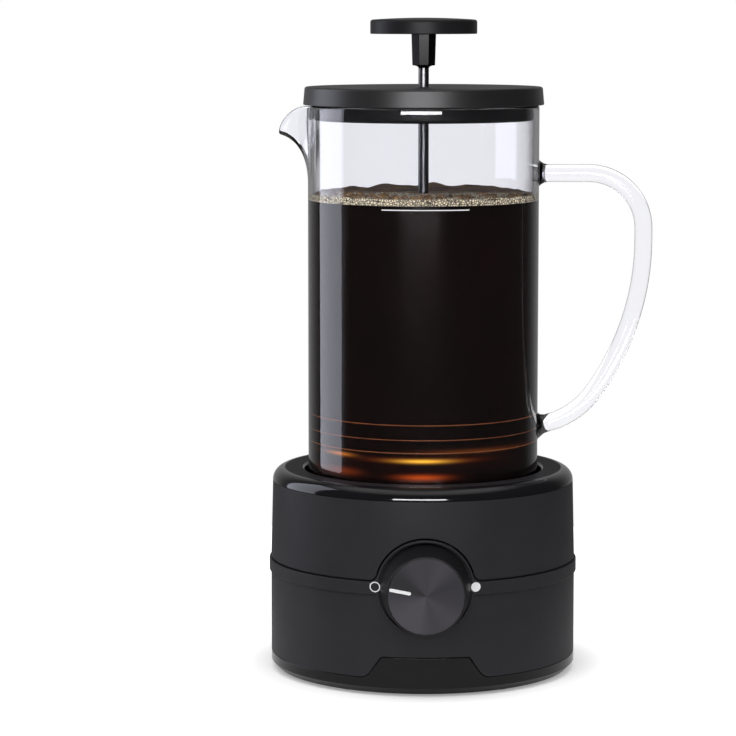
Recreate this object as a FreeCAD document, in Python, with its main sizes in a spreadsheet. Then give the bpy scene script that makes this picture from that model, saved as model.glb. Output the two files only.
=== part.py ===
import FreeCAD, Part
import math
import os
import Sketcher

# A cold brew coffee maker: a round motor base with a speed knob, a glass carafe that stands in the
# base's well, a stirrer that magnets turn, and a lid that carries a press filter on a rod.
# Millimetres, +Z up. The origin is on the base's axis at table level, the knob faces -Y,
# the spout points to -X and the handle to +X.

doc = FreeCAD.newDocument("cold_brew_coffee_maker")
sheet = doc.addObject("Spreadsheet::Sheet", "sizes")

# Driving dimensions, in millimetres, degrees or counts
drivingSizes = {
    # base shells
    "base_radius": 69.2,
    "shell_wall": 3.2,
    "skin_wall": 1.6,
    "foot_stand": 1.0,
    "tray_height": 7.2,
    "tray_floor": 3.0,
    "tray_bevel": 3.0,
    "tray_inset": 2.9,
    "tab_rise": 9.4,
    "tab_half_top": 19.2,
    "tab_half_bottom": 25.6,
    "seam_height": 50.8,
    "seam_gap": 0.6,
    "lip_rise": 3.4,
    "belt_width": 5.8,
    "belt_proud": 0.8,
    "shoulder_height": 86.5,
    "shoulder_inset": 0.9,
    "cap_rise": 5.5,
    "cap_round": 5.45,
    "cap_wall": 2.6,
    "cap_skirt": 4.0,
    "well_edge_round": 1.6,
    "well_clearance": 1.6,
    "well_depth": 16.0,
    "well_wall": 2.2,
    "fit_gap": 0.2,
    "touch_gap": 0.05,
    # feet
    "foot_radius": 5.5,
    "foot_thick": 2.2,
    "foot_inset": 11.5,
    "foot_angle": 56.3,
    # vent slots in the tray
    "vent_count": 12,
    "vent_width": 2.4,
    "vent_inner": 18.0,
    "vent_outer": 34.0,
    # dial panel and knob
    "knob_height": 48.3,
    "panel_radius": 21.5,
    "panel_rim": 1.0,
    "panel_shoulder": 4.0,
    "recess_depth": 3.0,
    "panel_thick": 3.0,
    "knob_gap": 0.4,
    "knob_length": 20.0,
    "knob_edge": 0.6,
    "knob_base_radius": 19.8,
    "knob_face_radius": 17.4,
    "knob_wall": 3.0,
    "knob_hub_radius": 5.2,
    "knob_hub_length": 10.0,
    "knob_cap_radius": 16.6,
    "knob_cap_thick": 0.8,
    "pointer_length": 9.5,
    "pointer_width": 1.4,
    "pointer_outer": 16.2,
    "pointer_angle": 11.0,
    "pointer_depth": 0.5,
    "pointer_proud": 0.1,
    "mark_offset": 22.0,
    "mark_lift": 0.5,
    "mark_radius": 2.3,
    "mark_stroke": 0.45,
    "dot_radius": 2.1,
    "mark_thick": 0.12,
    # speed switch
    "switch_width": 17.0,
    "switch_depth": 10.0,
    "lug_pitch": 4.7,
    "lug_width": 2.0,
    "lug_thick": 1.0,
    "bush_radius": 3.5,
    "bush_length": 7.8,
    "bush_clearance": 0.2,
    "switch_shaft_radius": 3.0,
    "shaft_clearance": 0.04,
    "shaft_flat": 2.2,
    "shaft_tail": 6.0,
    "washer_radius": 6.2,
    "washer_thick": 0.5,
    "nut_radius": 5.8,
    "nut_thick": 2.0,
    # motor and drive
    "motor_radius": 17.5,
    "motor_length": 34.0,
    "motor_chamfer": 1.0,
    "motor_boss_radius": 5.0,
    "motor_boss_rise": 2.6,
    "bearing_radius": 3.2,
    "bearing_length": 6.0,
    "motor_shaft_radius": 1.6,
    "motor_shaft_tail": 3.0,
    "bracket_radius": 37.0,
    "bracket_thick": 1.6,
    "grommet_thick": 2.0,
    "grommet_radius": 4.2,
    "post_radius": 4.2,
    "post_circle": 31.5,
    "post_length": 10.0,
    "post_angle": 90.0,
    "hub_radius": 22.0,
    "hub_thick": 5.5,
    "hub_gap": 3.5,
    "hub_boss_radius": 4.5,
    "hub_boss": 1.0,
    "magnet_radius": 5.0,
    "magnet_thick": 4.0,
    "magnet_circle": 14.5,
    # fasteners
    "screw_radius": 1.4,
    "screw_head_radius": 2.8,
    "screw_head_thick": 1.6,
    "screw_length": 9.0,
    "pilot_gap": 0.05,
    "column_radius": 4.4,
    "column_inset": 4.0,
    "column_height": 12.0,
    "column_angle": 45.0,
    "blind_end": 1.0,
    "sink_gap": 0.5,
    "motor_screw_circle": 11.0,
    # control board
    "board_length": 44.0,
    "board_width": 30.0,
    "board_thick": 1.6,
    "board_setback": 34.2,
    "component_gap": 1.0,
    "standoff_height": 8.0,
    "standoff_radius": 2.6,
    "standoff_inset": 4.0,
    "capacitor_radius": 4.0,
    "capacitor_height": 9.0,
    "relay_length": 15.0,
    "relay_width": 10.0,
    "relay_height": 8.0,
    "terminal_length": 18.0,
    "terminal_width": 7.0,
    "terminal_height": 9.0,
    # cord inlet
    "inlet_height": 18.0,
    "inlet_bore": 3.6,
    "inlet_neck": 5.6,
    "inlet_flange": 8.6,
    "inlet_sink": 1.6,
    "inlet_boss_wall": 1.0,
    "inlet_chamfer": 0.5,
    "inlet_flange_thick": 1.2,
    "inlet_wall": 2.4,
    "inlet_tail": 7.0,
    "inlet_nut_thick": 2.4,
    # carafe
    "pad_thick": 1.0,
    "pad_inner": 26.0,
    "pad_outer": 46.0,
    "glass_radius": 52.1,
    "glass_wall": 2.2,
    "glass_height": 179.0,
    "glass_floor": 4.0,
    "glass_foot_round": 5.0,
    "spout_reach": 13.0,
    "spout_half_width": 13.0,
    "spout_drop": 29.0,
    "spout_tip_drop": 11.0,
    "spout_tip_half": 3.2,
    "spout_tip_thick": 2.6,
    "spout_wall": 2.0,
    "spout_reach_ratio": 0.5,
    "spout_drop_ratio": 0.12,
    "spout_width_ratio": 0.42,
    "spout_lip_bend": 20.8,
    "line_drop": 44.2,
    "line_width": 0.45,
    "line_thick": 0.12,
    "line_angle": 43.0,
    # handle
    "handle_rod_radius": 4.0,
    "handle_drop": 30.5,
    "handle_stand": 47.4,
    "handle_top_bend": 25.0,
    "handle_straight": 5.5,
    "handle_long_bend": 118.0,
    "handle_long_angle": 36.0,
    "handle_low_bend": 36.0,
    "handle_foot_radius": 6.2,
    "handle_foot_length": 4.0,
    # lid
    "lid_lift_gap": 0.3,
    "lid_radius": 54.2,
    "lid_taper": 0.7,
    "lid_thick": 8.0,
    "lid_wall": 2.5,
    "lid_round": 1.0,
    "plug_flange": 2.4,
    "plug_radius": 49.6,
    "plug_wall": 2.3,
    "plug_depth": 6.6,
    "plug_round": 1.6,
    "lid_boss_radius": 7.0,
    "rod_bush_radius": 4.2,
    "rod_bush_length": 12.0,
    # plunger
    "rod_radius": 2.35,
    "rod_clearance": 0.07,
    "rest_lift": 8.0,
    "neck_rise": 1.8,
    "neck_radius": 2.9,
    "collar_low_width": 10.2,
    "collar_top_width": 11.0,
    "collar_rise": 13.8,
    "collar_sides": 8,
    "disc_radius": 24.0,
    "disc_thick": 6.3,
    "disc_crown": 0.9,
    "disc_round": 1.4,
    # filter
    "filter_rise": 23.8,
    "cup_radius": 48.8,
    "cup_wall": 2.0,
    "cup_height": 6.0,
    "cup_web": 1.8,
    "screen_thick": 0.4,
    "screen_radius": 47.6,
    "seal_radius": 49.6,
    "seal_inner": 46.6,
    "seal_height": 6.4,
    "frame_thick": 1.8,
    "hole_count": 12,
    "hole_radius": 4.2,
    "hole_circle": 34.0,
    "inner_hole_count": 6,
    "inner_hole_circle": 19.0,
    "filter_hub_radius": 7.0,
    "filter_hub_drop": 2.2,
    "filter_nut_radius": 4.6,
    "filter_nut_thick": 3.0,
    # stirrer
    "stirrer_radius": 17.0,
    "stirrer_disc": 4.2,
    "stirrer_chamfer": 1.0,
    "stirrer_gap": 0.1,
    "stirrer_pivot_radius": 2.4,
    "stirrer_pivot": 0.9,
    "blade_count": 4,
    "blade_angle": 45.0,
    "blade_rise": 3.4,
    "blade_thick": 2.2,
    "blade_length": 11.0,
    "stirrer_magnet_radius": 3.6,
    "stirrer_magnet_thick": 3.0,
    "stirrer_magnet_circle": 10.5,
}


class Size:
    """A length or angle that holds its number and the sheet expression that drives it."""

    def __init__(self, number, text):
        self.number = float(number)
        self.text = text

    def __add__(self, other):
        other = asSize(other)
        return Size(self.number + other.number, "(%s + %s)" % (self.text, other.text))

    def __radd__(self, other):
        return asSize(other) + self

    def __sub__(self, other):
        other = asSize(other)
        return Size(self.number - other.number, "(%s - %s)" % (self.text, other.text))

    def __rsub__(self, other):
        return asSize(other) - self

    def __mul__(self, other):
        other = asSize(other)
        return Size(self.number * other.number, "(%s * %s)" % (self.text, other.text))

    def __rmul__(self, other):
        return asSize(other) * self

    def __truediv__(self, other):
        other = asSize(other)
        return Size(self.number / other.number, "(%s / %s)" % (self.text, other.text))

    def __neg__(self):
        return Size(-self.number, "(0 - %s)" % self.text)


def asSize(value):
    if isinstance(value, Size):
        return value
    return Size(value, repr(float(value)))


def root(value):
    return Size(math.sqrt(value.number), "sqrt(%s)" % value.text)


def sine(degrees):
    degrees = asSize(degrees)
    return Size(math.sin(math.radians(degrees.number)), "sin(%s * 1 deg)" % degrees.text)


def cosine(degrees):
    degrees = asSize(degrees)
    return Size(math.cos(math.radians(degrees.number)), "cos(%s * 1 deg)" % degrees.text)


class Sizes:
    """The driving dimensions by name, each bound to its cell in the sheet."""


size = Sizes()
for row, (name, number) in enumerate(drivingSizes.items(), start=1):
    sheet.set("A%d" % row, name)
    sheet.set("B%d" % row, str(number))
    sheet.setAlias("B%d" % row, name)
    setattr(size, name, Size(number, "sizes." + name))
doc.recompute()


# Helpers that draw a sketch and bind every coordinate to the sheet

def newBody(label):
    body = doc.addObject("PartDesign::Body", label)
    body.Label = label
    return body


def bind(thing, path, value):
    value = asSize(value)
    thing.setExpression(path, value.text)


def originFeature(body, role):
    for feature in body.Origin.OriginFeatures:
        if feature.Role == role:
            return feature
    raise ValueError("no origin feature " + role)


def newSketch(body, name, role, offset=0, across=0, up=0):
    sketch = body.newObject("Sketcher::SketchObject", name)
    sketch.AttachmentSupport = [(originFeature(body, role), "")]
    sketch.MapMode = "FlatFace"
    bind(sketch, "AttachmentOffset.Base.x", across)
    bind(sketch, "AttachmentOffset.Base.y", up)
    bind(sketch, "AttachmentOffset.Base.z", offset)
    return sketch


def pinPoint(sketch, edge, end, across, up):
    for kind, value in (("DistanceX", asSize(across)), ("DistanceY", asSize(up))):
        index = sketch.addConstraint(Sketcher.Constraint(kind, -1, 1, edge, end, value.number))
        bind(sketch, "Constraints[%d]" % index, value)


def arcMiddle(start, stop, radius, bulge):
    """The middle of the short arc from start to stop; bulge 1 is to the left of the way, -1 to the right."""
    dx, dy = stop[0] - start[0], stop[1] - start[1]
    chord = math.hypot(dx, dy)
    rise = radius - math.sqrt(max(radius ** 2 - chord ** 2 / 4, 0.0))
    return ((start[0] + stop[0]) / 2 - bulge * rise * dy / chord,
            (start[1] + stop[1]) / 2 + bulge * rise * dx / chord)


def drawChain(sketch, points, arcs=None, closed=True):
    """Straight edges through the points; arcs maps an edge's number to (radius, bulge)."""
    arcs = arcs or {}
    places = [(asSize(across).number, asSize(up).number) for across, up in points]
    first = sketch.GeometryCount
    count = len(points) if closed else len(points) - 1
    for i in range(count):
        start, stop = places[i], places[(i + 1) % len(places)]
        if i in arcs:
            radius, bulge = asSize(arcs[i][0]), arcs[i][1]
            middle = arcMiddle(start, stop, radius.number, bulge)
            if bulge > 0:
                start, stop = stop, start
            edge = Part.Arc(FreeCAD.Vector(*start, 0), FreeCAD.Vector(*middle, 0), FreeCAD.Vector(*stop, 0))
        else:
            edge = Part.LineSegment(FreeCAD.Vector(*start, 0), FreeCAD.Vector(*stop, 0))
        sketch.addGeometry(edge, False)
    ends = [arcEnds(sketch, first + i, places[i]) for i in range(count)]
    for i in range(count if closed else count - 1):
        after = (i + 1) % count
        joint = (first + i, ends[i][1], first + after, ends[after][0])
        sketch.addConstraint(Sketcher.Constraint("Coincident", *joint))
    for i, (across, up) in enumerate(points):
        if i < count:
            pinPoint(sketch, first + i, ends[i][0], across, up)
        else:
            pinPoint(sketch, first + i - 1, ends[i - 1][1], across, up)
    for i, (radius, bulge) in arcs.items():
        start, stop = places[i], places[(i + 1) % len(places)]
        if math.hypot(stop[0] - start[0], stop[1] - start[1]) > 1.9999 * asSize(radius).number:
            # a half circle: its centre lies level with its ends
            kind, value = ("DistanceX", points[i][0]) if start[0] == stop[0] else ("DistanceY", points[i][1])
            index = sketch.addConstraint(Sketcher.Constraint(kind, -1, 1, first + i, 3, asSize(value).number))
            bind(sketch, "Constraints[%d]" % index, value)
        else:
            index = sketch.addConstraint(Sketcher.Constraint("Radius", first + i, asSize(radius).number))
            bind(sketch, "Constraints[%d]" % index, radius)


def arcEnds(sketch, edge, start):
    """The numbers of an edge's first and last point along the way: arcs run anticlockwise."""
    geometry = sketch.Geometry[edge]
    point = geometry.StartPoint
    if math.hypot(point.x - start[0], point.y - start[1]) < 1e-6:
        return 1, 2
    return 2, 1


def drawCircle(sketch, across, up, radius):
    across, up, radius = asSize(across), asSize(up), asSize(radius)
    centre = FreeCAD.Vector(across.number, up.number, 0)
    edge = sketch.addGeometry(Part.Circle(centre, FreeCAD.Vector(0, 0, 1), radius.number), False)
    pinPoint(sketch, edge, 3, across, up)
    index = sketch.addConstraint(Sketcher.Constraint("Radius", edge, radius.number))
    bind(sketch, "Constraints[%d]" % index, radius)


def drawPolygon(sketch, sides, radius, turn=0.0):
    drawChain(sketch, aroundCircle(radius, sides, turn))


def drawSlot(sketch, x1, x2, half):
    """A slot along X with round ends."""
    drawChain(sketch, [(x1, -half), (x2, -half), (x2, half), (x1, half)], {1: (half, -1), 3: (half, -1)})


# Helpers that add features; each one works on the body's own sketches

def addPad(body, name, sketch, length, reverse=False):
    pad = body.newObject("PartDesign::Pad", name)
    pad.Profile = sketch
    bind(pad, "Length", length)
    pad.Reversed = reverse
    return pad


def addPocket(body, name, sketch, depth, reverse=False):
    """Cuts against the sketch's own direction, or along it when reversed."""
    doc.recompute()
    before = body.Shape.Volume
    pocket = body.newObject("PartDesign::Pocket", name)
    pocket.Profile = sketch
    bind(pocket, "Length", depth)
    pocket.Reversed = reverse
    doc.recompute()
    if body.Shape.Volume > before - 1e-6:
        raise ValueError(name + " cuts nothing")
    return pocket


def addTurned(body, name, points, arcs=None, role="XZ_Plane", axis="V_Axis", cut=False, angle=360.0):
    """A profile turned about the body's Z axis, or with the YZ plane about its Y axis."""
    sketch = newSketch(body, name + "_outline", role)
    drawChain(sketch, points, arcs)
    feature = body.newObject("PartDesign::Groove" if cut else "PartDesign::Revolution", name)
    feature.Profile = sketch
    feature.ReferenceAxis = (sketch, [axis])
    bind(feature, "Angle", angle)
    feature.Midplane = asSize(angle).number < 360.0
    return feature


def addPattern(body, name, feature, count):
    pattern = body.newObject("PartDesign::PolarPattern", name)
    pattern.Originals = [feature]
    pattern.Axis = (originFeature(body, "Z_Axis"), [""])
    pattern.Angle = 360
    bind(pattern, "Occurrences", count)
    body.Tip = pattern
    return pattern


def roundEdges(body, name, radius, wanted):
    """Fillets the round edges whose radius and height along Z are in the wanted list."""
    doc.recompute()
    base = body.Tip
    found = []
    for number, edge in enumerate(base.Shape.Edges, start=1):
        curve = None if edge.Degenerated else edge.Curve
        if not isinstance(curve, Part.Circle):
            continue
        for around, level in wanted:
            if (abs(curve.Radius - asSize(around).number) < 1e-3
                    and abs(curve.Center.z - asSize(level).number) < 1e-3):
                found.append("Edge%d" % number)
    if not found:
        raise ValueError(name + " finds no edge")
    fillet = body.newObject("PartDesign::Fillet", name)
    fillet.Base = (base, found)
    bind(fillet, "Radius", radius)
    return fillet


def place(thing, x=0, y=0, z=0):
    bind(thing, "Placement.Base.x", x)
    bind(thing, "Placement.Base.y", y)
    bind(thing, "Placement.Base.z", z)


def ring(label, inner, outer, bottom, height):
    """A plain ring, bush, washer or pad about the Z axis."""
    body = newBody(label)
    sketch = newSketch(body, label + "_rings", "XY_Plane")
    drawCircle(sketch, 0, 0, outer)
    if inner is not None:
        drawCircle(sketch, 0, 0, inner)
    addPad(body, label + "_pad", sketch, height)
    place(body, z=bottom)
    return body


def screws(label, places, seat, up):
    """A group of like screws: each head is a disc on its seat, and the shank runs up or down from it."""
    group = []
    for i, (x, y, lift) in enumerate(places):
        head = doc.addObject("Part::Cylinder", "%s_head_%d" % (label, i))
        bind(head, "Radius", size.screw_head_radius)
        bind(head, "Height", size.screw_head_thick)
        shank = doc.addObject("Part::Cylinder", "%s_shank_%d" % (label, i))
        bind(shank, "Radius", size.screw_radius)
        bind(shank, "Height", size.screw_length)
        base = asSize(seat) + lift
        place(head, x, y, base - size.screw_head_thick if up else base)
        place(shank, x, y, base if up else base - size.screw_length)
        whole = doc.addObject("Part::Fuse", "%s_%d" % (label, i))
        whole.Base, whole.Tool = head, shank
        group.append(whole)
    joined = doc.addObject("Part::Compound", label)
    joined.Links = group
    joined.Label = label
    return joined


def aroundCircle(radius, count, first):
    """Places evenly round the Z axis, from the angle of the first one."""
    turns = [asSize(first) + 360.0 * i / count for i in range(count)]
    return [(asSize(radius) * cosine(turn), asSize(radius) * sine(turn)) for turn in turns]


# How far a cutting shape reaches past the solid that it cuts
cutMargin = 1.0

# Levels and radii that several pieces share
underside = size.foot_stand
trayTop = underside + size.tray_height
trayFloor = underside + size.tray_floor
tabTop = trayTop + size.tab_rise
shellInner = size.base_radius - size.shell_wall
skinInner = size.base_radius - size.skin_wall
lipOuter = skinInner - size.fit_gap
beltBottom = size.seam_height - size.belt_width
beltRadius = size.base_radius + size.belt_proud
upperBottom = size.seam_height + size.seam_gap
upperTopRadius = size.base_radius - size.shoulder_inset
deckTop = size.shoulder_height + size.cap_rise
wellRadius = size.glass_radius + size.well_clearance
wellFloor = deckTop - size.well_depth
glassBottom = wellFloor + size.pad_thick
glassInner = size.glass_radius - size.glass_wall
glassFloor = glassBottom + size.glass_floor
glassRim = glassBottom + size.glass_height
lidBottom = glassRim + size.lid_lift_gap
lidTop = lidBottom + size.lid_thick
columnPlaces = aroundCircle(shellInner - size.column_inset, 4, size.column_angle)
footCircle = size.base_radius - size.foot_inset
footAcross, footAlong = footCircle * cosine(size.foot_angle), footCircle * sine(size.foot_angle)
footPlaces = [(footAcross * sx, footAlong * sy) for sx in (-1, 1) for sy in (-1, 1)]
postPlaces = aroundCircle(size.post_circle, 3, size.post_angle)
recessFloor = size.base_radius - size.recess_depth
knobBase = recessFloor + size.knob_gap
knobFace = knobBase + size.knob_length
inletSeat = size.base_radius - size.inlet_sink
panelBack = recessFloor - size.panel_thick


# Bottom tray: a dish with a bevelled foot, a front tab, recesses for the feet and standoffs for the board

def bottomTray():
    body = newBody("bottom_tray")
    footRadius = size.base_radius - size.tray_inset
    addTurned(body, "tray_dish", [
        (0, underside),
        (footRadius, underside),
        (size.base_radius, underside + size.tray_bevel),
        (size.base_radius, trayTop),
        (skinInner, trayTop),
        (skinInner, trayFloor),
        (0, trayFloor)])
    tab = newSketch(body, "tray_tab_outline", "XZ_Plane", offset=size.base_radius / 2)
    drawChain(tab, [
        (-size.tab_half_bottom, trayTop),
        (-size.tab_half_bottom, trayFloor),
        (size.tab_half_bottom, trayFloor),
        (size.tab_half_bottom, trayTop),
        (size.tab_half_top, tabTop),
        (-size.tab_half_top, tabTop)])
    addPad(body, "tray_tab", tab, size.base_radius)
    addTurned(body, "tab_outside", [
        (size.base_radius, trayFloor),
        (size.base_radius * 2, trayFloor),
        (size.base_radius * 2, tabTop + cutMargin),
        (size.base_radius, tabTop + cutMargin)], cut=True)
    addTurned(body, "tab_inside", [
        (0, trayFloor),
        (shellInner + size.fit_gap, trayFloor),
        (shellInner + size.fit_gap, tabTop + cutMargin),
        (0, tabTop + cutMargin)], cut=True)
    standoffs = newSketch(body, "standoff_circles", "XY_Plane", offset=trayFloor)
    for x, y in boardCorners():
        drawCircle(standoffs, x, y, size.standoff_radius)
    addPad(body, "standoffs", standoffs, size.standoff_height)
    pilots = newSketch(body, "standoff_pilots", "XY_Plane", offset=trayFloor + size.standoff_height)
    for x, y in boardCorners():
        drawCircle(pilots, x, y, size.screw_radius + size.pilot_gap)
    addPocket(body, "standoff_bores", pilots, size.standoff_height)
    seats = newSketch(body, "foot_seats", "XY_Plane", offset=underside)
    for x, y in footPlaces:
        drawCircle(seats, x, y, size.foot_radius + size.touch_gap)
    addPocket(body, "foot_recesses", seats, size.foot_thick - size.foot_stand, reverse=True)
    sinks = newSketch(body, "screw_seats", "XY_Plane", offset=underside)
    for x, y in columnPlaces:
        drawCircle(sinks, x, y, size.screw_head_radius + size.sink_gap)
    addPocket(body, "screw_sinks", sinks, size.screw_head_thick + size.fit_gap, reverse=True)
    passages = newSketch(body, "screw_passages", "XY_Plane", offset=underside)
    for x, y in columnPlaces:
        drawCircle(passages, x, y, size.screw_radius + size.fit_gap)
    addPocket(body, "screw_holes", passages, size.tray_floor, reverse=True)
    vent = newSketch(body, "vent_slot", "XY_Plane", offset=underside)
    drawSlot(vent, size.vent_inner, size.vent_outer, size.vent_width / 2)
    slot = addPocket(body, "vent", vent, size.tray_floor, reverse=True)
    addPattern(body, "vents", slot, size.vent_count)
    return body


boardCentre = size.base_radius - size.board_setback


def boardCorners():
    halfLength = size.board_length / 2 - size.standoff_inset
    halfWidth = size.board_width / 2 - size.standoff_inset
    return [(halfLength * sx, boardCentre + halfWidth * sy) for sx in (-1, 1) for sy in (-1, 1)]


# The dial panel's outline in the front view: a disc that grows out of the belt through two hollow shoulders

def panelOutline(sketch, grow):
    radius = size.panel_radius + grow
    bend = size.panel_shoulder - grow
    level = size.seam_height + grow
    rise = level + bend - size.knob_height
    reach = radius + bend
    shoulder = root(reach * reach - rise * rise)
    meetX = shoulder * radius / reach
    meetZ = size.knob_height + rise * radius / reach
    low = size.knob_height - radius
    drawChain(sketch, [
        (shoulder, level),
        (meetX, meetZ),
        (0, size.knob_height + radius),
        (-meetX, meetZ),
        (-shoulder, level),
        (-shoulder, level - size.belt_proud),
        (-radius, size.knob_height),
        (0, low),
        (radius, size.knob_height),
        (shoulder, level - size.belt_proud)],
        {0: (bend, 1), 1: (radius, -1), 2: (radius, -1), 3: (bend, 1), 6: (radius, -1), 7: (radius, -1)})


# Lower housing: a tube with the belt, the dial panel and its recess, the inlet seat and four screw columns

def lowerHousing():
    body = newBody("lower_housing")
    spigot = trayFloor + size.blind_end
    bevel = size.belt_proud / 2
    addTurned(body, "lower_shell", [
        (shellInner, spigot),
        (lipOuter, spigot),
        (lipOuter, trayTop),
        (size.base_radius, trayTop),
        (size.base_radius, beltBottom - bevel),
        (beltRadius, beltBottom + bevel),
        (beltRadius, size.seam_height - bevel),
        (beltRadius - bevel, size.seam_height),
        (lipOuter, size.seam_height),
        (lipOuter, size.seam_height + size.lip_rise),
        (shellInner, size.seam_height + size.lip_rise)])
    columns = newSketch(body, "column_circles", "XY_Plane", offset=trayFloor)
    for x, y in columnPlaces:
        drawCircle(columns, x, y, size.column_radius)
    addPad(body, "columns", columns, size.column_height)
    panel = newSketch(body, "panel_outline", "XZ_Plane", offset=panelBack)
    panelOutline(panel, 0)
    addPad(body, "panel", panel, size.base_radius)
    addTurned(body, "panel_trim", [
        (beltRadius, trayTop),
        (size.base_radius * 3, trayTop),
        (size.base_radius * 3, deckTop),
        (beltRadius, deckTop)], cut=True)
    recess = newSketch(body, "recess_circle", "XZ_Plane", offset=recessFloor)
    drawCircle(recess, 0, size.knob_height, size.panel_radius - size.panel_rim)
    addPocket(body, "recess", recess, size.base_radius, reverse=True)
    hole = newSketch(body, "switch_hole_circle", "XZ_Plane", offset=recessFloor)
    drawCircle(hole, 0, size.knob_height, size.bush_radius + size.bush_clearance)
    addPocket(body, "switch_hole", hole, size.panel_thick * 2)
    notch = newSketch(body, "tab_notch_outline", "XZ_Plane", offset=size.base_radius / 2)
    gap = size.fit_gap
    drawChain(notch, [
        (-size.tab_half_bottom - gap, trayTop),
        (-size.tab_half_bottom - gap, underside),
        (size.tab_half_bottom + gap, underside),
        (size.tab_half_bottom + gap, trayTop),
        (size.tab_half_top + gap, tabTop + gap),
        (-size.tab_half_top - gap, tabTop + gap)])
    addPocket(body, "tab_notch", notch, size.base_radius, reverse=True)
    pilots = newSketch(body, "column_pilots", "XY_Plane", offset=trayFloor)
    for x, y in columnPlaces:
        drawCircle(pilots, x, y, size.screw_radius + size.pilot_gap)
    addPocket(body, "column_bores", pilots, size.column_height - size.blind_end, reverse=True)
    boss = newSketch(body, "inlet_boss_circle", "XZ_Plane", offset=-inletSeat)
    drawCircle(boss, 0, size.inlet_height, size.inlet_flange + size.inlet_boss_wall)
    addPad(body, "inlet_boss", boss, size.inlet_wall)
    seat = newSketch(body, "inlet_seat_circle", "XZ_Plane", offset=-inletSeat)
    drawCircle(seat, 0, size.inlet_height, size.inlet_flange + size.fit_gap)
    addPocket(body, "inlet_recess", seat, size.base_radius)
    bore = newSketch(body, "inlet_hole_circle", "XZ_Plane", offset=-inletSeat)
    drawCircle(bore, 0, size.inlet_height, size.inlet_neck + size.fit_gap)
    addPocket(body, "inlet_hole", bore, size.inlet_wall * 2, reverse=True)
    return body


# Upper housing: a slightly tapered sleeve with a notch that clears the dial panel

def upperHousing():
    body = newBody("upper_housing")
    addTurned(body, "upper_sleeve", [
        (skinInner, upperBottom),
        (size.base_radius, upperBottom),
        (upperTopRadius, size.shoulder_height),
        (upperTopRadius - size.cap_wall, size.shoulder_height),
        (skinInner, size.seam_height + size.lip_rise + size.blind_end)])
    notch = newSketch(body, "notch_outline", "XZ_Plane", offset=size.base_radius / 2)
    panelOutline(notch, size.seam_gap)
    addPocket(body, "notch", notch, size.base_radius, reverse=True)
    return body


# Top cap: a glossy ring whose top rolls over the shoulder and dips into the well

def topCap():
    body = newBody("top_cap")
    skirtOuter = upperTopRadius - size.cap_wall - size.fit_gap
    skirtInner = skirtOuter - size.skin_wall
    addTurned(body, "cap_ring", [
        (upperTopRadius, size.shoulder_height),
        (upperTopRadius, deckTop - size.cap_round),
        (upperTopRadius - size.cap_round, deckTop),
        (wellRadius, deckTop),
        (wellRadius, deckTop - size.cap_wall * 2),
        (wellRadius + size.well_wall, deckTop - size.cap_wall * 2),
        (wellRadius + size.well_wall, deckTop - size.cap_wall),
        (skirtInner, deckTop - size.cap_wall),
        (skirtInner, size.shoulder_height - size.cap_skirt),
        (skirtOuter, size.shoulder_height - size.cap_skirt),
        (skirtOuter, size.shoulder_height)],
        {1: (size.cap_round, -1)})
    roundEdges(body, "well_edge", size.well_edge_round, [(wellRadius, deckTop)])
    return body


# Well cup: it hangs under the cap, holds the carafe's foot and carries three posts for the motor bracket

def wellCup():
    body = newBody("well_cup")
    rimLevel = deckTop - size.cap_wall * 2
    outer = wellRadius + size.well_wall
    addTurned(body, "cup_shell", [
        (0, wellFloor - size.well_wall),
        (outer, wellFloor - size.well_wall),
        (outer, rimLevel),
        (wellRadius, rimLevel),
        (wellRadius, wellFloor),
        (0, wellFloor)])
    posts = newSketch(body, "post_circles", "XY_Plane", offset=wellFloor - size.well_wall)
    for x, y in postPlaces:
        drawCircle(posts, x, y, size.post_radius)
    addPad(body, "posts", posts, size.post_length, reverse=True)
    pilots = newSketch(body, "post_pilots", "XY_Plane", offset=postBottom())
    for x, y in postPlaces:
        drawCircle(pilots, x, y, size.screw_radius + size.pilot_gap)
    addPocket(body, "post_bores", pilots, size.post_length - size.blind_end, reverse=True)
    return body


def postBottom():
    return wellFloor - size.well_wall - size.post_length


def wellPad():
    return ring("well_pad", size.pad_inner, size.pad_outer, wellFloor, size.pad_thick)


def baseFeet():
    body = newBody("feet")
    sketch = newSketch(body, "feet_circles", "XY_Plane")
    for x, y in footPlaces:
        drawCircle(sketch, x, y, size.foot_radius)
    addPad(body, "feet_pad", sketch, size.foot_thick)
    return body


# Marks on the belt: thin inlays that follow its curve

def beltMark(label, side, outer, inner):
    drum = doc.addObject("Part::Cylinder", label + "_drum")
    bind(drum, "Radius", beltRadius + size.mark_thick)
    bind(drum, "Height", size.shoulder_height)
    core = doc.addObject("Part::Cylinder", label + "_core")
    bind(core, "Radius", beltRadius)
    bind(core, "Height", size.shoulder_height)
    film = doc.addObject("Part::Cut", label + "_film")
    film.Base, film.Tool = drum, core
    pin = doc.addObject("Part::Cylinder", label + "_pin")
    bind(pin, "Radius", outer)
    bind(pin, "Height", size.base_radius * 2)
    spot = pin
    if inner is not None:
        bore = doc.addObject("Part::Cylinder", label + "_bore")
        bind(bore, "Radius", inner)
        bind(bore, "Height", size.base_radius * 2)
        spot = doc.addObject("Part::Cut", label + "_ring")
        spot.Base, spot.Tool = pin, bore
    spot.Placement = FreeCAD.Placement(FreeCAD.Vector(0, 0, 0), FreeCAD.Rotation(FreeCAD.Vector(1, 0, 0), 90))
    place(spot, size.mark_offset * side, 0, size.knob_height + size.mark_lift)
    mark = doc.addObject("Part::Common", label)
    mark.Base, mark.Tool = film, spot
    mark.Label = label
    return mark


# Speed switch behind the panel: a box, its threaded bush through the panel, washer, nut and shaft

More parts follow.
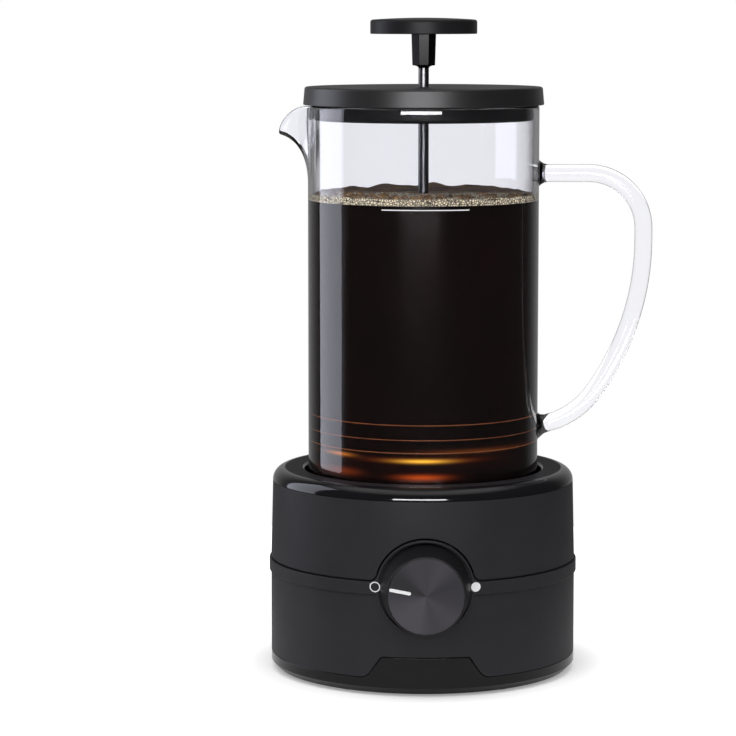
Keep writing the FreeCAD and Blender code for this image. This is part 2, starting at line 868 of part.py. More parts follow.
def speedSwitch():
    body = newBody("speed_switch")
    box = newSketch(body, "switch_box_outline", "XZ_Plane", offset=panelBack)
    half = size.switch_width / 2
    drawChain(box, [
        (-half, size.knob_height - half),
        (half, size.knob_height - half),
        (half, size.knob_height + half),
        (-half, size.knob_height + half)])
    addPad(body, "switch_box", box, size.switch_depth, reverse=True)
    bush = newSketch(body, "bush_circle", "XZ_Plane", offset=panelBack)
    drawCircle(bush, 0, size.knob_height, size.bush_radius)
    addPad(body, "bush", bush, size.bush_length)
    bore = newSketch(body, "bush_bore_circle", "XZ_Plane", offset=panelBack + size.bush_length)
    drawCircle(bore, 0, size.knob_height, size.switch_shaft_radius + size.shaft_clearance)
    addPocket(body, "bush_bore", bore, size.bush_length + size.shaft_tail + size.shaft_clearance)
    tabs = newSketch(body, "terminal_outlines", "XZ_Plane", offset=panelBack - size.switch_depth)
    low = size.knob_height - half + size.lug_thick
    for i in (-1, 0, 1):
        left = size.lug_pitch * i - size.lug_width / 2
        drawChain(tabs, [
            (left, low),
            (left + size.lug_width, low),
            (left + size.lug_width, low + size.lug_thick),
            (left, low + size.lug_thick)])
    addPad(body, "terminals", tabs, size.shaft_tail, reverse=True)
    return body


def switchWasher():
    body = newBody("switch_washer")
    sketch = newSketch(body, "washer_circles", "XZ_Plane", offset=recessFloor)
    drawCircle(sketch, 0, size.knob_height, size.washer_radius)
    drawCircle(sketch, 0, size.knob_height, size.bush_radius + size.touch_gap)
    addPad(body, "washer", sketch, size.washer_thick)
    return body


def switchNut():
    body = newBody("switch_nut")
    sketch = newSketch(body, "nut_outline", "XZ_Plane", offset=recessFloor + size.washer_thick,
                       up=size.knob_height)
    drawPolygon(sketch, 6, size.nut_radius)
    drawCircle(sketch, 0, 0, size.bush_radius + size.touch_gap)
    addPad(body, "nut", sketch, size.nut_thick)
    return body


def flattedRound(sketch, radius, flat):
    """A round section with a flat on top, as a D shaft has."""
    half = root(asSize(radius) * radius - asSize(flat) * flat)
    drawChain(sketch, [(-half, flat), (0, -asSize(radius)), (half, flat)], {0: (radius, -1), 1: (radius, -1)})


def switchShaft():
    body = newBody("switch_shaft")
    tail = panelBack - size.shaft_tail
    rounded = newSketch(body, "shaft_round", "XZ_Plane", offset=tail, up=size.knob_height)
    drawCircle(rounded, 0, 0, size.switch_shaft_radius)
    addPad(body, "shaft_stem", rounded, hubStart() - tail)
    flatted = newSketch(body, "shaft_flatted", "XZ_Plane", offset=hubStart(), up=size.knob_height)
    flattedRound(flatted, size.switch_shaft_radius, size.shaft_flat)
    addPad(body, "shaft_end", flatted, size.knob_hub_length - size.touch_gap)
    return body


def hubStart():
    return knobFace - size.knob_cap_thick - size.knob_wall - size.knob_hub_length + size.knob_wall / 2


# Knob: a hollow tapered cup with a hub on the switch's shaft, a spun metal face and a white pointer

def knob():
    body = newBody("knob")
    capSeat = knobFace - size.knob_cap_thick
    inside = capSeat - size.knob_wall
    addTurned(body, "knob_cup", [
        (-knobBase, size.knob_base_radius - size.knob_wall),
        (-knobBase, size.knob_base_radius),
        (-(knobFace - size.knob_edge), size.knob_face_radius + size.knob_edge / 2),
        (-knobFace, size.knob_face_radius - size.knob_edge / 2),
        (-knobFace, size.knob_cap_radius),
        (-capSeat, size.knob_cap_radius),
        (-capSeat, 0),
        (-inside, 0),
        (-inside, size.knob_face_radius - size.knob_wall)], role="YZ_Plane", axis="H_Axis")
    hub = newSketch(body, "hub_circle", "XZ_Plane", offset=hubStart())
    drawCircle(hub, 0, 0, size.knob_hub_radius)
    addPad(body, "hub", hub, size.knob_hub_length - size.knob_wall / 2)
    bore = newSketch(body, "hub_bore", "XZ_Plane", offset=hubStart())
    flattedRound(bore, size.switch_shaft_radius + size.touch_gap, size.shaft_flat + size.touch_gap)
    addPocket(body, "shaft_hole", bore, size.knob_hub_length, reverse=True)
    place(body, z=size.knob_height)
    return body


def pointerOutline(sketch, grow):
    half = size.pointer_width / 2 + grow
    outer = -(size.pointer_outer - size.pointer_width / 2)
    inner = outer + size.pointer_length - size.pointer_width
    drawSlot(sketch, outer, inner, half)


def tiltPointer(thing):
    thing.Placement = FreeCAD.Placement(FreeCAD.Vector(0, 0, 0), FreeCAD.Rotation(FreeCAD.Vector(0, 1, 0), 0))
    bind(thing, "Placement.Rotation.Angle", size.pointer_angle)
    place(thing, z=size.knob_height)


def knobCap():
    body = newBody("knob_cap")
    sketch = newSketch(body, "cap_circle", "XZ_Plane", offset=knobFace - size.knob_cap_thick)
    drawCircle(sketch, 0, 0, size.knob_cap_radius - size.touch_gap)
    addPad(body, "cap_disc", sketch, size.knob_cap_thick)
    slot = newSketch(body, "pointer_slot", "XZ_Plane", offset=knobFace)
    pointerOutline(slot, size.touch_gap)
    addPocket(body, "pointer_groove", slot, size.pointer_depth)
    tiltPointer(body)
    return body


def knobPointer():
    body = newBody("knob_pointer")
    sketch = newSketch(body, "pointer_shape", "XZ_Plane", offset=knobFace - size.pointer_depth)
    pointerOutline(sketch, 0)
    addPad(body, "pointer", sketch, size.pointer_depth + size.pointer_proud)
    tiltPointer(body)
    return body


# Motor under the well, hung on a bracket with rubber washers

plateTop = postBottom() - size.grommet_thick
plateBottom = plateTop - size.bracket_thick
motorBottom = plateBottom - size.motor_length
bossTop = plateTop + size.motor_boss_rise - size.bracket_thick
shaftBottom = bossTop - size.bearing_length - size.motor_shaft_tail
hubTop = wellFloor - size.well_wall - size.hub_gap
hubBottom = hubTop - size.hub_thick
motorScrewPlaces = aroundCircle(size.motor_screw_circle, 2, 0.0)


def motorBracket():
    body = newBody("motor_bracket")
    sketch = newSketch(body, "bracket_circles", "XY_Plane", offset=plateBottom)
    drawCircle(sketch, 0, 0, size.bracket_radius)
    drawCircle(sketch, 0, 0, size.motor_boss_radius + size.fit_gap)
    for x, y in postPlaces + motorScrewPlaces:
        drawCircle(sketch, x, y, size.screw_radius + size.fit_gap)
    addPad(body, "bracket_plate", sketch, size.bracket_thick)
    return body


def bracketGrommets():
    body = newBody("bracket_grommets")
    sketch = newSketch(body, "grommet_circles", "XY_Plane", offset=plateTop)
    for x, y in postPlaces:
        drawCircle(sketch, x, y, size.grommet_radius)
        drawCircle(sketch, x, y, size.screw_radius + size.fit_gap)
    addPad(body, "grommets", sketch, size.grommet_thick)
    return body


def motorCan():
    body = newBody("motor_can")
    addTurned(body, "can", [
        (0, motorBottom),
        (size.motor_radius - size.motor_chamfer, motorBottom),
        (size.motor_radius, motorBottom + size.motor_chamfer),
        (size.motor_radius, plateBottom),
        (size.motor_boss_radius, plateBottom),
        (size.motor_boss_radius, bossTop),
        (size.bearing_radius + size.touch_gap, bossTop),
        (size.bearing_radius + size.touch_gap, bossTop - size.bearing_length),
        (size.motor_shaft_radius + size.fit_gap, bossTop - size.bearing_length),
        (size.motor_shaft_radius + size.fit_gap, shaftBottom),
        (0, shaftBottom)])
    pilots = newSketch(body, "can_pilots", "XY_Plane", offset=plateBottom)
    for x, y in motorScrewPlaces:
        drawCircle(pilots, x, y, size.screw_radius + size.pilot_gap)
    addPocket(body, "can_bores", pilots, size.screw_length)
    return body


def driveHub():
    body = newBody("drive_hub")
    addTurned(body, "hub_disc", [
        (size.motor_shaft_radius + size.touch_gap / 2, hubBottom - size.hub_boss),
        (size.hub_boss_radius, hubBottom - size.hub_boss),
        (size.hub_boss_radius, hubBottom),
        (size.hub_radius, hubBottom),
        (size.hub_radius, hubTop),
        (size.motor_shaft_radius + size.touch_gap / 2, hubTop)])
    seats = newSketch(body, "hub_magnet_seats", "XY_Plane", offset=hubTop)
    for x, y in aroundCircle(size.magnet_circle, 2, 0.0):
        drawCircle(seats, x, y, size.magnet_radius + size.touch_gap)
    addPocket(body, "hub_pockets", seats, size.magnet_thick)
    return body


def discPair(label, radius, circle, bottom, height):
    body = newBody(label)
    sketch = newSketch(body, label + "_circles", "XY_Plane")
    for x, y in aroundCircle(circle, 2, 0.0):
        drawCircle(sketch, x, y, radius)
    addPad(body, label + "_pad", sketch, height)
    place(body, z=bottom)
    return body


# Control board on its standoffs, with a relay, two capacitors and a terminal block

boardBottom = trayFloor + size.standoff_height
boardTop = boardBottom + size.board_thick


def controlBoard():
    body = newBody("control_board")
    sketch = newSketch(body, "board_outline", "XY_Plane", offset=boardBottom, up=boardCentre)
    halfLength, halfWidth = size.board_length / 2, size.board_width / 2
    drawChain(sketch, [(-halfLength, -halfWidth), (halfLength, -halfWidth), (halfLength, halfWidth),
                       (-halfLength, halfWidth)])
    for x, y in boardCorners():
        drawCircle(sketch, x, y - boardCentre, size.screw_radius + size.fit_gap)
    addPad(body, "board", sketch, size.board_thick)
    return body


def boardComponents():
    group = []
    for i, side in enumerate((-1, 1)):
        can = doc.addObject("Part::Cylinder", "capacitor_%d" % i)
        bind(can, "Radius", size.capacitor_radius)
        bind(can, "Height", size.capacitor_height)
        across = (size.capacitor_radius + size.component_gap) * side
        place(can, across, boardCentre - size.capacitor_radius, boardTop)
        group.append(can)
    blocks = (
        ("relay", size.relay_length, size.relay_width, size.relay_height, -size.relay_length / 2,
         boardCentre + size.component_gap * 2),
        ("terminal", size.terminal_width, size.terminal_length / 2, size.terminal_height,
         size.board_length / 2 - size.terminal_width - size.component_gap,
         boardCentre - size.terminal_length / 4))
    for name, length, width, height, x, y in blocks:
        block = doc.addObject("Part::Box", name + "_block")
        bind(block, "Length", length)
        bind(block, "Width", width)
        bind(block, "Height", height)
        place(block, x, y, boardTop)
        group.append(block)
    joined = doc.addObject("Part::Compound", "board_components")
    joined.Links = group
    joined.Label = "board_components"
    return joined


# Cord inlet: a rubber bush in the rear wall, held by a ring nut inside

def cordInlet():
    body = newBody("cord_inlet")
    seat = inletSeat
    neckEnd = seat - size.inlet_tail
    addTurned(body, "inlet_bush", [
        (neckEnd, size.inlet_bore),
        (seat + size.inlet_flange_thick, size.inlet_bore),
        (seat + size.inlet_flange_thick, size.inlet_flange - size.inlet_chamfer),
        (seat + size.inlet_flange_thick - size.inlet_chamfer, size.inlet_flange),
        (seat, size.inlet_flange),
        (seat, size.inlet_neck),
        (neckEnd, size.inlet_neck)], role="YZ_Plane", axis="H_Axis")
    place(body, z=size.inlet_height)
    return body


def inletNut():
    body = newBody("inlet_nut")
    start = inletSeat - size.inlet_wall
    addTurned(body, "inlet_ring", [
        (start - size.inlet_nut_thick, size.inlet_neck + size.touch_gap),
        (start, size.inlet_neck + size.touch_gap),
        (start, size.inlet_flange),
        (start - size.inlet_nut_thick, size.inlet_flange)], role="YZ_Plane", axis="H_Axis")
    place(body, z=size.inlet_height)
    return body


# Carafe: a straight beaker with a pulled lip

def spoutSection(body, name, reach, halfWidth, bottom, top):
    """An upright U section across the spout, at a distance from the carafe's axis."""
    sketch = newSketch(body, name, "YZ_Plane", offset=-reach)
    bend = halfWidth
    drawChain(sketch, [
        (-halfWidth, top),
        (-halfWidth, bottom + bend),
        (0, bottom),
        (halfWidth, bottom + bend),
        (halfWidth, top)],
        {1: (bend, -1), 2: (bend, -1)})
    return sketch


def carafeGlass():
    body = newBody("carafe_glass")
    addTurned(body, "glass_outside", [
        (0, glassBottom),
        (size.glass_radius, glassBottom),
        (size.glass_radius, glassRim),
        (0, glassRim)])
    roundEdges(body, "glass_foot", size.glass_foot_round, [(size.glass_radius, glassBottom)])
    start = size.glass_radius - size.glass_wall * 2
    tip = size.glass_radius + size.spout_reach
    middle = size.glass_radius + size.spout_reach * size.spout_reach_ratio
    above = glassRim + size.glass_wall
    over = above + cutMargin
    tipLow = glassRim - size.spout_tip_drop - size.spout_tip_thick
    low = glassRim - size.spout_drop
    midLow = tipLow - (tipLow - low) * size.spout_drop_ratio
    midHalf = size.spout_tip_half + (size.spout_half_width - size.spout_tip_half) * size.spout_width_ratio
    outer = [spoutSection(body, "spout_root", start, size.spout_half_width, low, above),
             spoutSection(body, "spout_middle", middle, midHalf, midLow, above),
             spoutSection(body, "spout_tip", tip, size.spout_tip_half, tipLow, above)]
    horn = body.newObject("PartDesign::AdditiveLoft", "spout_horn")
    horn.Profile = outer[0]
    horn.Sections = outer[1:]
    wall = size.spout_wall
    addTurned(body, "glass_inside", [
        (0, glassFloor),
        (glassInner, glassFloor),
        (glassInner, over),
        (0, over)], cut=True)
    rootHalf, tipHalf = size.spout_half_width - wall, size.spout_tip_half - wall
    inner = [spoutSection(body, "channel_root", start - cutMargin, rootHalf, low + wall * 2, over),
             spoutSection(body, "channel_middle", middle, midHalf - wall, midLow + wall, over),
             spoutSection(body, "channel_tip", tip + cutMargin, tipHalf, tipLow + wall, over)]
    doc.recompute()
    before = body.Shape.Volume
    channel = body.newObject("PartDesign::SubtractiveLoft", "spout_channel")
    channel.Profile = inner[0]
    channel.Sections = inner[1:]
    doc.recompute()
    if body.Shape.Volume > before - 1e-6:
        raise ValueError("the spout's channel cuts nothing")
    lip = newSketch(body, "lip_line", "XZ_Plane", offset=-size.spout_half_width * 2)
    drawChain(lip, [
        (-size.glass_radius + size.glass_wall, glassRim),
        (-size.glass_radius, glassRim),
        (-tip - cutMargin * 2, glassRim - size.spout_tip_drop - cutMargin),
        (-tip - cutMargin * 2, over + cutMargin),
        (-size.glass_radius + size.glass_wall, over + cutMargin)],
        {1: (size.spout_lip_bend, -1)})
    addPocket(body, "lip_cut", lip, size.spout_half_width * 4, reverse=True)
    trim = newSketch(body, "rim_trim", "XY_Plane", offset=glassRim)
    drawCircle(trim, 0, 0, tip * 2)
    addPocket(body, "rim_level", trim, size.glass_wall * 3, reverse=True)
    return body


def fillLine():
    body = newBody("fill_line")
    level = glassRim - size.line_drop
    feature = addTurned(body, "line_band", [
        (size.glass_radius, level),
        (size.glass_radius + size.line_thick, level),
        (size.glass_radius + size.line_thick, level + size.line_width),
        (size.glass_radius, level + size.line_width)], angle=size.line_angle)
    turn = FreeCAD.Rotation(FreeCAD.Vector(0, 0, 1), -90)
    body.Placement = FreeCAD.Placement(FreeCAD.Vector(0, 0, 0), turn)
    return feature


# Handle: one glass rod bent into an ear, with a flared foot at each end that meets the carafe's wall

handleTop = glassRim - size.handle_drop
handleReach = size.glass_radius + size.handle_stand


def handlePath():
    """The rod's centre line in the front view: a top run, a tight bend, a slow bend and the low bend."""
    reach, top = handleReach, handleTop
    turn = size.handle_long_angle
    bend, longBend, lowBend = size.handle_top_bend, size.handle_long_bend, size.handle_low_bend
    start = (size.glass_radius - size.glass_wall, top)
    corner = (reach - bend, top)
    side = (reach, top - bend)
    low = (reach, top - bend - size.handle_straight)
    slow = (reach - longBend + longBend * cosine(turn), low[1] - longBend * sine(turn))
    foot = (slow[0] - lowBend * cosine(turn), slow[1] - lowBend + lowBend * sine(turn))
    return [start, corner, side, low, slow, foot]


def carafeHandle():
    body = newBody("handle_rod")
    path = newSketch(body, "handle_path", "XZ_Plane")
    points = handlePath()
    drawChain(path, points, {1: (size.handle_top_bend, 1), 3: (size.handle_long_bend, 1),
                             4: (size.handle_low_bend, 1)}, closed=False)
    section = newSketch(body, "rod_section", "YZ_Plane", offset=points[0][0])
    drawCircle(section, 0, handleTop, size.handle_rod_radius)
    pipe = body.newObject("PartDesign::AdditivePipe", "handle_bend")
    pipe.Profile = section
    pipe.Spine = path
    feet = []
    for i, level in enumerate((handleTop, points[-1][1])):
        cone = doc.addObject("Part::Cone", "handle_foot_%d" % i)
        bind(cone, "Radius1", size.handle_foot_radius)
        bind(cone, "Radius2", size.handle_rod_radius)
        bind(cone, "Height", size.handle_foot_length + size.glass_wall / 2)
        tilt = FreeCAD.Rotation(FreeCAD.Vector(0, 1, 0), 90)
        cone.Placement = FreeCAD.Placement(FreeCAD.Vector(0, 0, 0), tilt)
        place(cone, size.glass_radius - size.glass_wall / 2, 0, level)
        feet.append(cone)
    whole = doc.addObject("Part::MultiFuse", "handle_whole")
    whole.Shapes = [body] + feet
    core = doc.addObject("Part::Cylinder", "handle_core")
    bind(core, "Radius", size.glass_radius)
    bind(core, "Height", glassRim)
    handle = doc.addObject("Part::Cut", "carafe_handle")
    handle.Base, handle.Tool = whole, core
    handle.Label = "carafe_handle"
    return handle


# Stirrer on the carafe's floor, with two magnets that follow the drive magnets

stirrerBottom = glassFloor + size.stirrer_gap
stirrerDisc = stirrerBottom + size.stirrer_pivot
stirrerTop = stirrerDisc + size.stirrer_disc


def stirrer():
    body = newBody("stirrer")
    addTurned(body, "stirrer_disc_turned", [
        (0, stirrerBottom),
        (size.stirrer_pivot_radius, stirrerBottom),
        (size.stirrer_pivot_radius, stirrerDisc),
        (size.stirrer_radius - size.stirrer_chamfer, stirrerDisc),
        (size.stirrer_radius, stirrerDisc + size.stirrer_chamfer),
        (size.stirrer_radius, stirrerTop),
        (0, stirrerTop)])
    seats = newSketch(body, "stirrer_magnet_seats", "XY_Plane", offset=stirrerTop)
    for x, y in aroundCircle(size.stirrer_magnet_circle, 2, 0.0):
        drawCircle(seats, x, y, size.stirrer_magnet_radius + size.touch_gap)
    addPocket(body, "stirrer_pockets", seats, size.stirrer_magnet_thick)
    blade = newSketch(body, "blade_outline", "XY_Plane", offset=stirrerTop)
    half = size.blade_thick / 2
    start = size.stirrer_radius - size.blade_length
    end = size.stirrer_radius - size.stirrer_chamfer
    turn = size.blade_angle
    corners = [(start, -half), (end, -half), (end, half), (start, half)]
    drawChain(blade, [(x * cosine(turn) - y * sine(turn), x * sine(turn) + y * cosine(turn))
                      for x, y in corners])
    pad = addPad(body, "blade", blade, size.blade_rise)
    addPattern(body, "blades", pad, size.blade_count)
    return body


# Lid: a plug that rests on the rim, a cover over it and a bush for the rod

flangeTop = glassRim + size.touch_gap + size.plug_flange


def lidPlug():
    body = newBody("lid_plug")
    flangeRadius = size.lid_radius - size.lid_wall - size.fit_gap
    seat = glassRim + size.touch_gap
    bottom = glassRim - size.plug_depth
    bore = size.rod_bush_radius + size.touch_gap
    addTurned(body, "plug", [
        (bore, bottom + size.plug_round),
        (size.lid_boss_radius, bottom + size.plug_round),
        (size.lid_boss_radius, seat),
        (size.plug_radius - size.plug_wall, seat),
        (size.plug_radius - size.plug_wall, bottom),
        (size.plug_radius - size.plug_round, bottom),
        (size.plug_radius, bottom + size.plug_round),
        (size.plug_radius, seat),
        (flangeRadius, seat),
        (flangeRadius, flangeTop),
        (bore, flangeTop)],
        {5: (size.plug_round, -1)})
    return body


def lidCover():
    body = newBody("lid_cover")
    bore = size.rod_bush_radius + size.touch_gap
    inner = size.lid_radius - size.lid_wall
    ceiling = lidTop - size.lid_wall
    addTurned(body, "cover", [
        (bore, flangeTop),
        (size.lid_boss_radius, flangeTop),
        (size.lid_boss_radius, ceiling),
        (inner, ceiling),
        (inner, lidBottom),
        (size.lid_radius, lidBottom),
        (size.lid_radius - size.lid_taper, lidTop),
        (bore, lidTop)])
    roundEdges(body, "cover_round", size.lid_round, [(size.lid_radius - size.lid_taper, lidTop)])
    return body


def rodBush():
    return ring("rod_bush", size.rod_radius + size.rod_clearance, size.rod_bush_radius,
                lidTop - size.rod_bush_length, size.rod_bush_length)


# Plunger: disc, faceted collar, rod and the filter stack at its foot

neckBottom = lidTop + size.rest_lift
collarBottom = neckBottom + size.neck_rise
collarTop = collarBottom + size.collar_rise
discTop = collarTop + size.disc_thick
rodTop = collarTop - size.neck_rise
filterLevel = glassFloor + size.filter_rise
cupTop = filterLevel + size.cup_height
screenTop = cupTop + size.screen_thick
frameTop = screenTop + size.frame_thick
hubLow = filterLevel - size.filter_hub_drop


def plungerDisc():
    body = newBody("plunger_disc")
    crown = size.disc_crown
    crownRadius = (size.disc_radius * size.disc_radius + crown * crown) / (crown * 2)
    addTurned(body, "disc", [
        (0, collarTop),
        (size.disc_radius, collarTop),
        (size.disc_radius, discTop),
        (0, discTop + crown)],
        {2: (crownRadius, -1)})
    roundEdges(body, "disc_edges", size.disc_round, [(size.disc_radius, discTop)])
    return body


def plungerCollar():
    body = newBody("plunger_collar")
    neck = newSketch(body, "neck_circle", "XY_Plane", offset=neckBottom)
    drawCircle(neck, 0, 0, size.neck_radius)
    flare = newSketch(body, "flare_circle", "XY_Plane", offset=collarBottom)
    drawCircle(flare, 0, 0, size.collar_low_width / 2 - size.fit_gap)
    cone = body.newObject("PartDesign::AdditiveLoft", "neck")
    cone.Profile = neck
    cone.Sections = [flare]
    sides = int(size.collar_sides.number)
    turn = asSize(180.0) / size.collar_sides
    low = newSketch(body, "collar_low", "XY_Plane", offset=collarBottom)
    drawPolygon(low, sides, size.collar_low_width / 2 / cosine(turn), turn)
    high = newSketch(body, "collar_high", "XY_Plane", offset=collarTop)
    drawPolygon(high, sides, size.collar_top_width / 2 / cosine(turn), turn)
    facets = body.newObject("PartDesign::AdditiveLoft", "facets")
    facets.Profile = low
    facets.Sections = [high]
    bore = newSketch(body, "collar_bore_circle", "XY_Plane", offset=neckBottom)
    drawCircle(bore, 0, 0, size.rod_radius + size.touch_gap)
    addPocket(body, "collar_bore", bore, rodTop - neckBottom, reverse=True)
    return body


def plungerRod():
    return ring("plunger_rod", None, size.rod_radius, hubLow, rodTop - hubLow)


def filterHoles(body, level, depth):
    for name, circle, count in (("outer", size.hole_circle, size.hole_count),
                                ("inner", size.inner_hole_circle, size.inner_hole_count)):
        sketch = newSketch(body, name + "_hole_circle", "XY_Plane", offset=level)
        drawCircle(sketch, circle, 0, size.hole_radius)
        hole = addPocket(body, name + "_hole", sketch, depth)
        addPattern(body, name + "_holes", hole, count)


def filterCup():
    body = newBody("filter_cup")
    bore = size.filter_hub_radius + size.touch_gap
    addTurned(body, "cup", [
        (bore, cupTop - size.cup_web),
        (size.cup_radius - size.cup_wall, cupTop - size.cup_web),
        (size.cup_radius - size.cup_wall, filterLevel),
        (size.cup_radius, filterLevel),
        (size.cup_radius, cupTop),
        (bore, cupTop)])
    filterHoles(body, cupTop, size.cup_web)
    return body


def filterHub():
    body = newBody("filter_hub")
    bore = size.rod_radius + size.touch_gap
    flange = size.filter_hub_radius + size.cup_wall
    addTurned(body, "hub_turned", [
        (bore, hubLow),
        (size.filter_hub_radius, hubLow),
        (flange, hubLow + size.cup_web),
        (flange, cupTop - size.cup_web),
        (size.filter_hub_radius, cupTop - size.cup_web),
        (size.filter_hub_radius, cupTop),
        (bore, cupTop)])
    return body


def meshScreen():
    bore = size.rod_radius + size.touch_gap
    return ring("mesh_screen", bore, size.screen_radius, cupTop, size.screen_thick)


def filterFrame():
    body = newBody("filter_frame")
    addTurned(body, "frame_disc", [
        (size.rod_radius + size.touch_gap, screenTop),
        (size.seal_inner - size.touch_gap, screenTop),
        (size.seal_inner - size.touch_gap, frameTop),
        (size.rod_radius + size.touch_gap, frameTop)])
    filterHoles(body, frameTop, size.frame_thick)
    return body


def filterSeal():
    body = newBody("filter_seal")
    thin = size.seal_radius - size.skin_wall
    addTurned(body, "seal", [
        (size.seal_inner, screenTop),
        (size.cup_radius, screenTop),
        (size.seal_radius, screenTop + size.seal_height - size.skin_wall),
        (size.seal_radius, screenTop + size.seal_height),
        (thin, screenTop + size.seal_height),
        (thin, frameTop),
        (size.seal_inner, frameTop)])
    return body


def filterNut():
    body = newBody("filter_nut")
    sketch = newSketch(body, "filter_nut_outline", "XY_Plane", offset=frameTop)
    drawPolygon(sketch, 6, size.filter_nut_radius)
    drawCircle(sketch, 0, 0, size.rod_radius + size.touch_gap)
    addPad(body, "filter_nut_pad", sketch, size.filter_nut_thick)
    return body


bottomTray()
lowerHousing()
upperHousing()
topCap()
wellCup()
wellPad()
baseFeet()
beltMark("off_mark", -1, size.mark_radius, size.mark_radius - size.mark_stroke)
beltMark("on_mark", 1, size.dot_radius, None)
speedSwitch()
switchWasher()
switchNut()
switchShaft()
knob()
knobCap()
knobPointer()
motorBracket()
bracketGrommets()
motorCan()
ring("motor_bearing", size.motor_shaft_radius + size.shaft_clearance, size.bearing_radius,
     bossTop - size.bearing_length, size.bearing_length)
ring("motor_shaft", None, size.motor_shaft_radius, shaftBottom + size.touch_gap * 2,
     hubTop - shaftBottom - size.touch_gap * 2)
driveHub()
discPair("drive_magnets", size.magnet_radius, size.magnet_circle,
         hubTop - size.magnet_thick, size.magnet_thick)
screws("tray_screws", [(x, y, size.fit_gap) for x, y in columnPlaces],
       underside + size.screw_head_thick, True)
screws("bracket_screws", [(x, y, 0) for x, y in postPlaces], plateBottom, True)
screws("motor_screws", [(x, y, 0) for x, y in motorScrewPlaces], plateTop, False)
screws("board_screws", [(x, y, 0) for x, y in boardCorners()], boardTop, False)
controlBoard()
boardComponents()
cordInlet()
inletNut()
carafeGlass()
carafeHandle()
fillLine()
stirrer()
discPair("stirrer_magnets", size.stirrer_magnet_radius, size.stirrer_magnet_circle,
         stirrerTop - size.stirrer_magnet_thick, size.stirrer_magnet_thick)
lidPlug()
lidCover()
rodBush()
plungerDisc()
plungerCollar()
plungerRod()
filterCup()
filterHub()
meshScreen()
filterFrame()
filterSeal()
filterNut()
doc.recompute()

# Every object has to be sound before a file is written
subparts = [
    "bottom_tray", "lower_housing", "upper_housing", "top_cap", "well_cup", "well_pad", "feet",
    "off_mark", "on_mark", "speed_switch", "switch_washer", "switch_nut", "switch_shaft",
    "knob", "knob_cap", "knob_pointer", "motor_bracket", "bracket_grommets", "motor_can",
    "motor_bearing", "motor_shaft", "drive_hub", "drive_magnets", "tray_screws", "bracket_screws",
    "motor_screws", "board_screws", "control_board", "board_components", "cord_inlet", "inlet_nut",
    "carafe_glass", "carafe_handle", "fill_line", "stirrer", "stirrer_magnets", "lid_plug", "lid_cover",
    "rod_bush", "plunger_disc", "plunger_collar", "plunger_rod", "filter_cup", "filter_hub",
    "mesh_screen", "filter_frame", "filter_seal", "filter_nut",
]
for thing in doc.Objects:
    if "Invalid" in thing.State or "Error" in thing.State:
        raise ValueError("%s did not build: %s" % (thing.Label, thing.State))

os.makedirs("parts", exist_ok=True)
for label in subparts:
    thing = doc.getObjectsByLabel(label)[0]
    if thing.Shape.isNull() or not thing.Shape.isValid():
        raise ValueError(label + " is not a valid shape")
    print("%-18s solids %d  volume %10.1f mm3" % (label, len(thing.Shape.Solids), thing.Shape.Volume))
    thing.Shape.exportStep("parts/%s.step" % label)
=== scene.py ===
import math
import random

import bmesh
import bpy
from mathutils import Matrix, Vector, noise


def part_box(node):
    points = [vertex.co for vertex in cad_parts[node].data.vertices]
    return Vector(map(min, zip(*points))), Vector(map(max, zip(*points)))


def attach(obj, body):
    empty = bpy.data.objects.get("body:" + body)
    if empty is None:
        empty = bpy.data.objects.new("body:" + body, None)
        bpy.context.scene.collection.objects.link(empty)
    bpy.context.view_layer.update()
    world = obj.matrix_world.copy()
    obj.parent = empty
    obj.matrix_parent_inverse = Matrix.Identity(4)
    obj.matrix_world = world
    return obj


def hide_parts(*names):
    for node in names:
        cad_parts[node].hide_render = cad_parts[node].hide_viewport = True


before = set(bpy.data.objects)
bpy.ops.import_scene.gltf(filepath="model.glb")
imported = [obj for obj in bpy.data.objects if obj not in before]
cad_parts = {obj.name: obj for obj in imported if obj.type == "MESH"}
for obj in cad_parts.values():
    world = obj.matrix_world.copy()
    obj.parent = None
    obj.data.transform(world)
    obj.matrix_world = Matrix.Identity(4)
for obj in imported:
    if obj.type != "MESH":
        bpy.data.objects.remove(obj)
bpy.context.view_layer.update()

mm = 0.001
print("frame loaded:", len(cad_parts), "solids")


def measures(node):
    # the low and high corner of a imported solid, in millimetres
    low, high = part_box(node)
    return [c / mm for c in low], [c / mm for c in high]


def tone(red, green, blue):
    # a screen colour of 0 to 255 as the linear colour that a shader takes
    levels = [c / 255 for c in (red, green, blue)]
    return (*[c / 12.92 if c <= 0.04045 else ((c + 0.055) / 1.055) ** 2.4 for c in levels], 1.0)


# sizes that several pieces share

lowerHigh = measures("lower_housing")[1]
upperLow, upperHigh = measures("upper_housing")
capLow, capHigh = measures("top_cap")
knobLow, knobHigh = measures("knob")
glassLow, glassHigh = measures("carafe_glass")
baseRadius, beltRadius = upperHigh[0], lowerHigh[0]
dialLevel = (knobLow[2] + knobHigh[2]) / 2


# the camera stands in front, a little above the knob and left of the axis

cameraSetup = {"place": (-25.0, -1346.0, 297.7), "tilt": 83.19, "lens": 145.9, "sensor": 36.0}

cameraData = bpy.data.cameras.new("frontCamera")
cameraData.lens = cameraSetup["lens"]
cameraData.sensor_width = cameraSetup["sensor"]
cameraData.clip_end = 20
camera = bpy.data.objects.new("frontCamera", cameraData)
camera.location = [c * mm for c in cameraSetup["place"]]
camera.rotation_euler = (math.radians(cameraSetup["tilt"]), 0, 0)
bpy.context.scene.collection.objects.link(camera)
bpy.context.scene.camera = camera
bpy.context.scene.view_settings.view_transform = "Standard"


# node helpers: a value is either another node's socket or a plain number or colour

def addNode(tree, kind, place, values=None, **settings):
    node = tree.nodes.new(kind)
    node.location = place
    for key, value in settings.items():
        setattr(node, key, value)
    for key, value in (values or {}).items():
        node.inputs[key].default_value = value
    return node


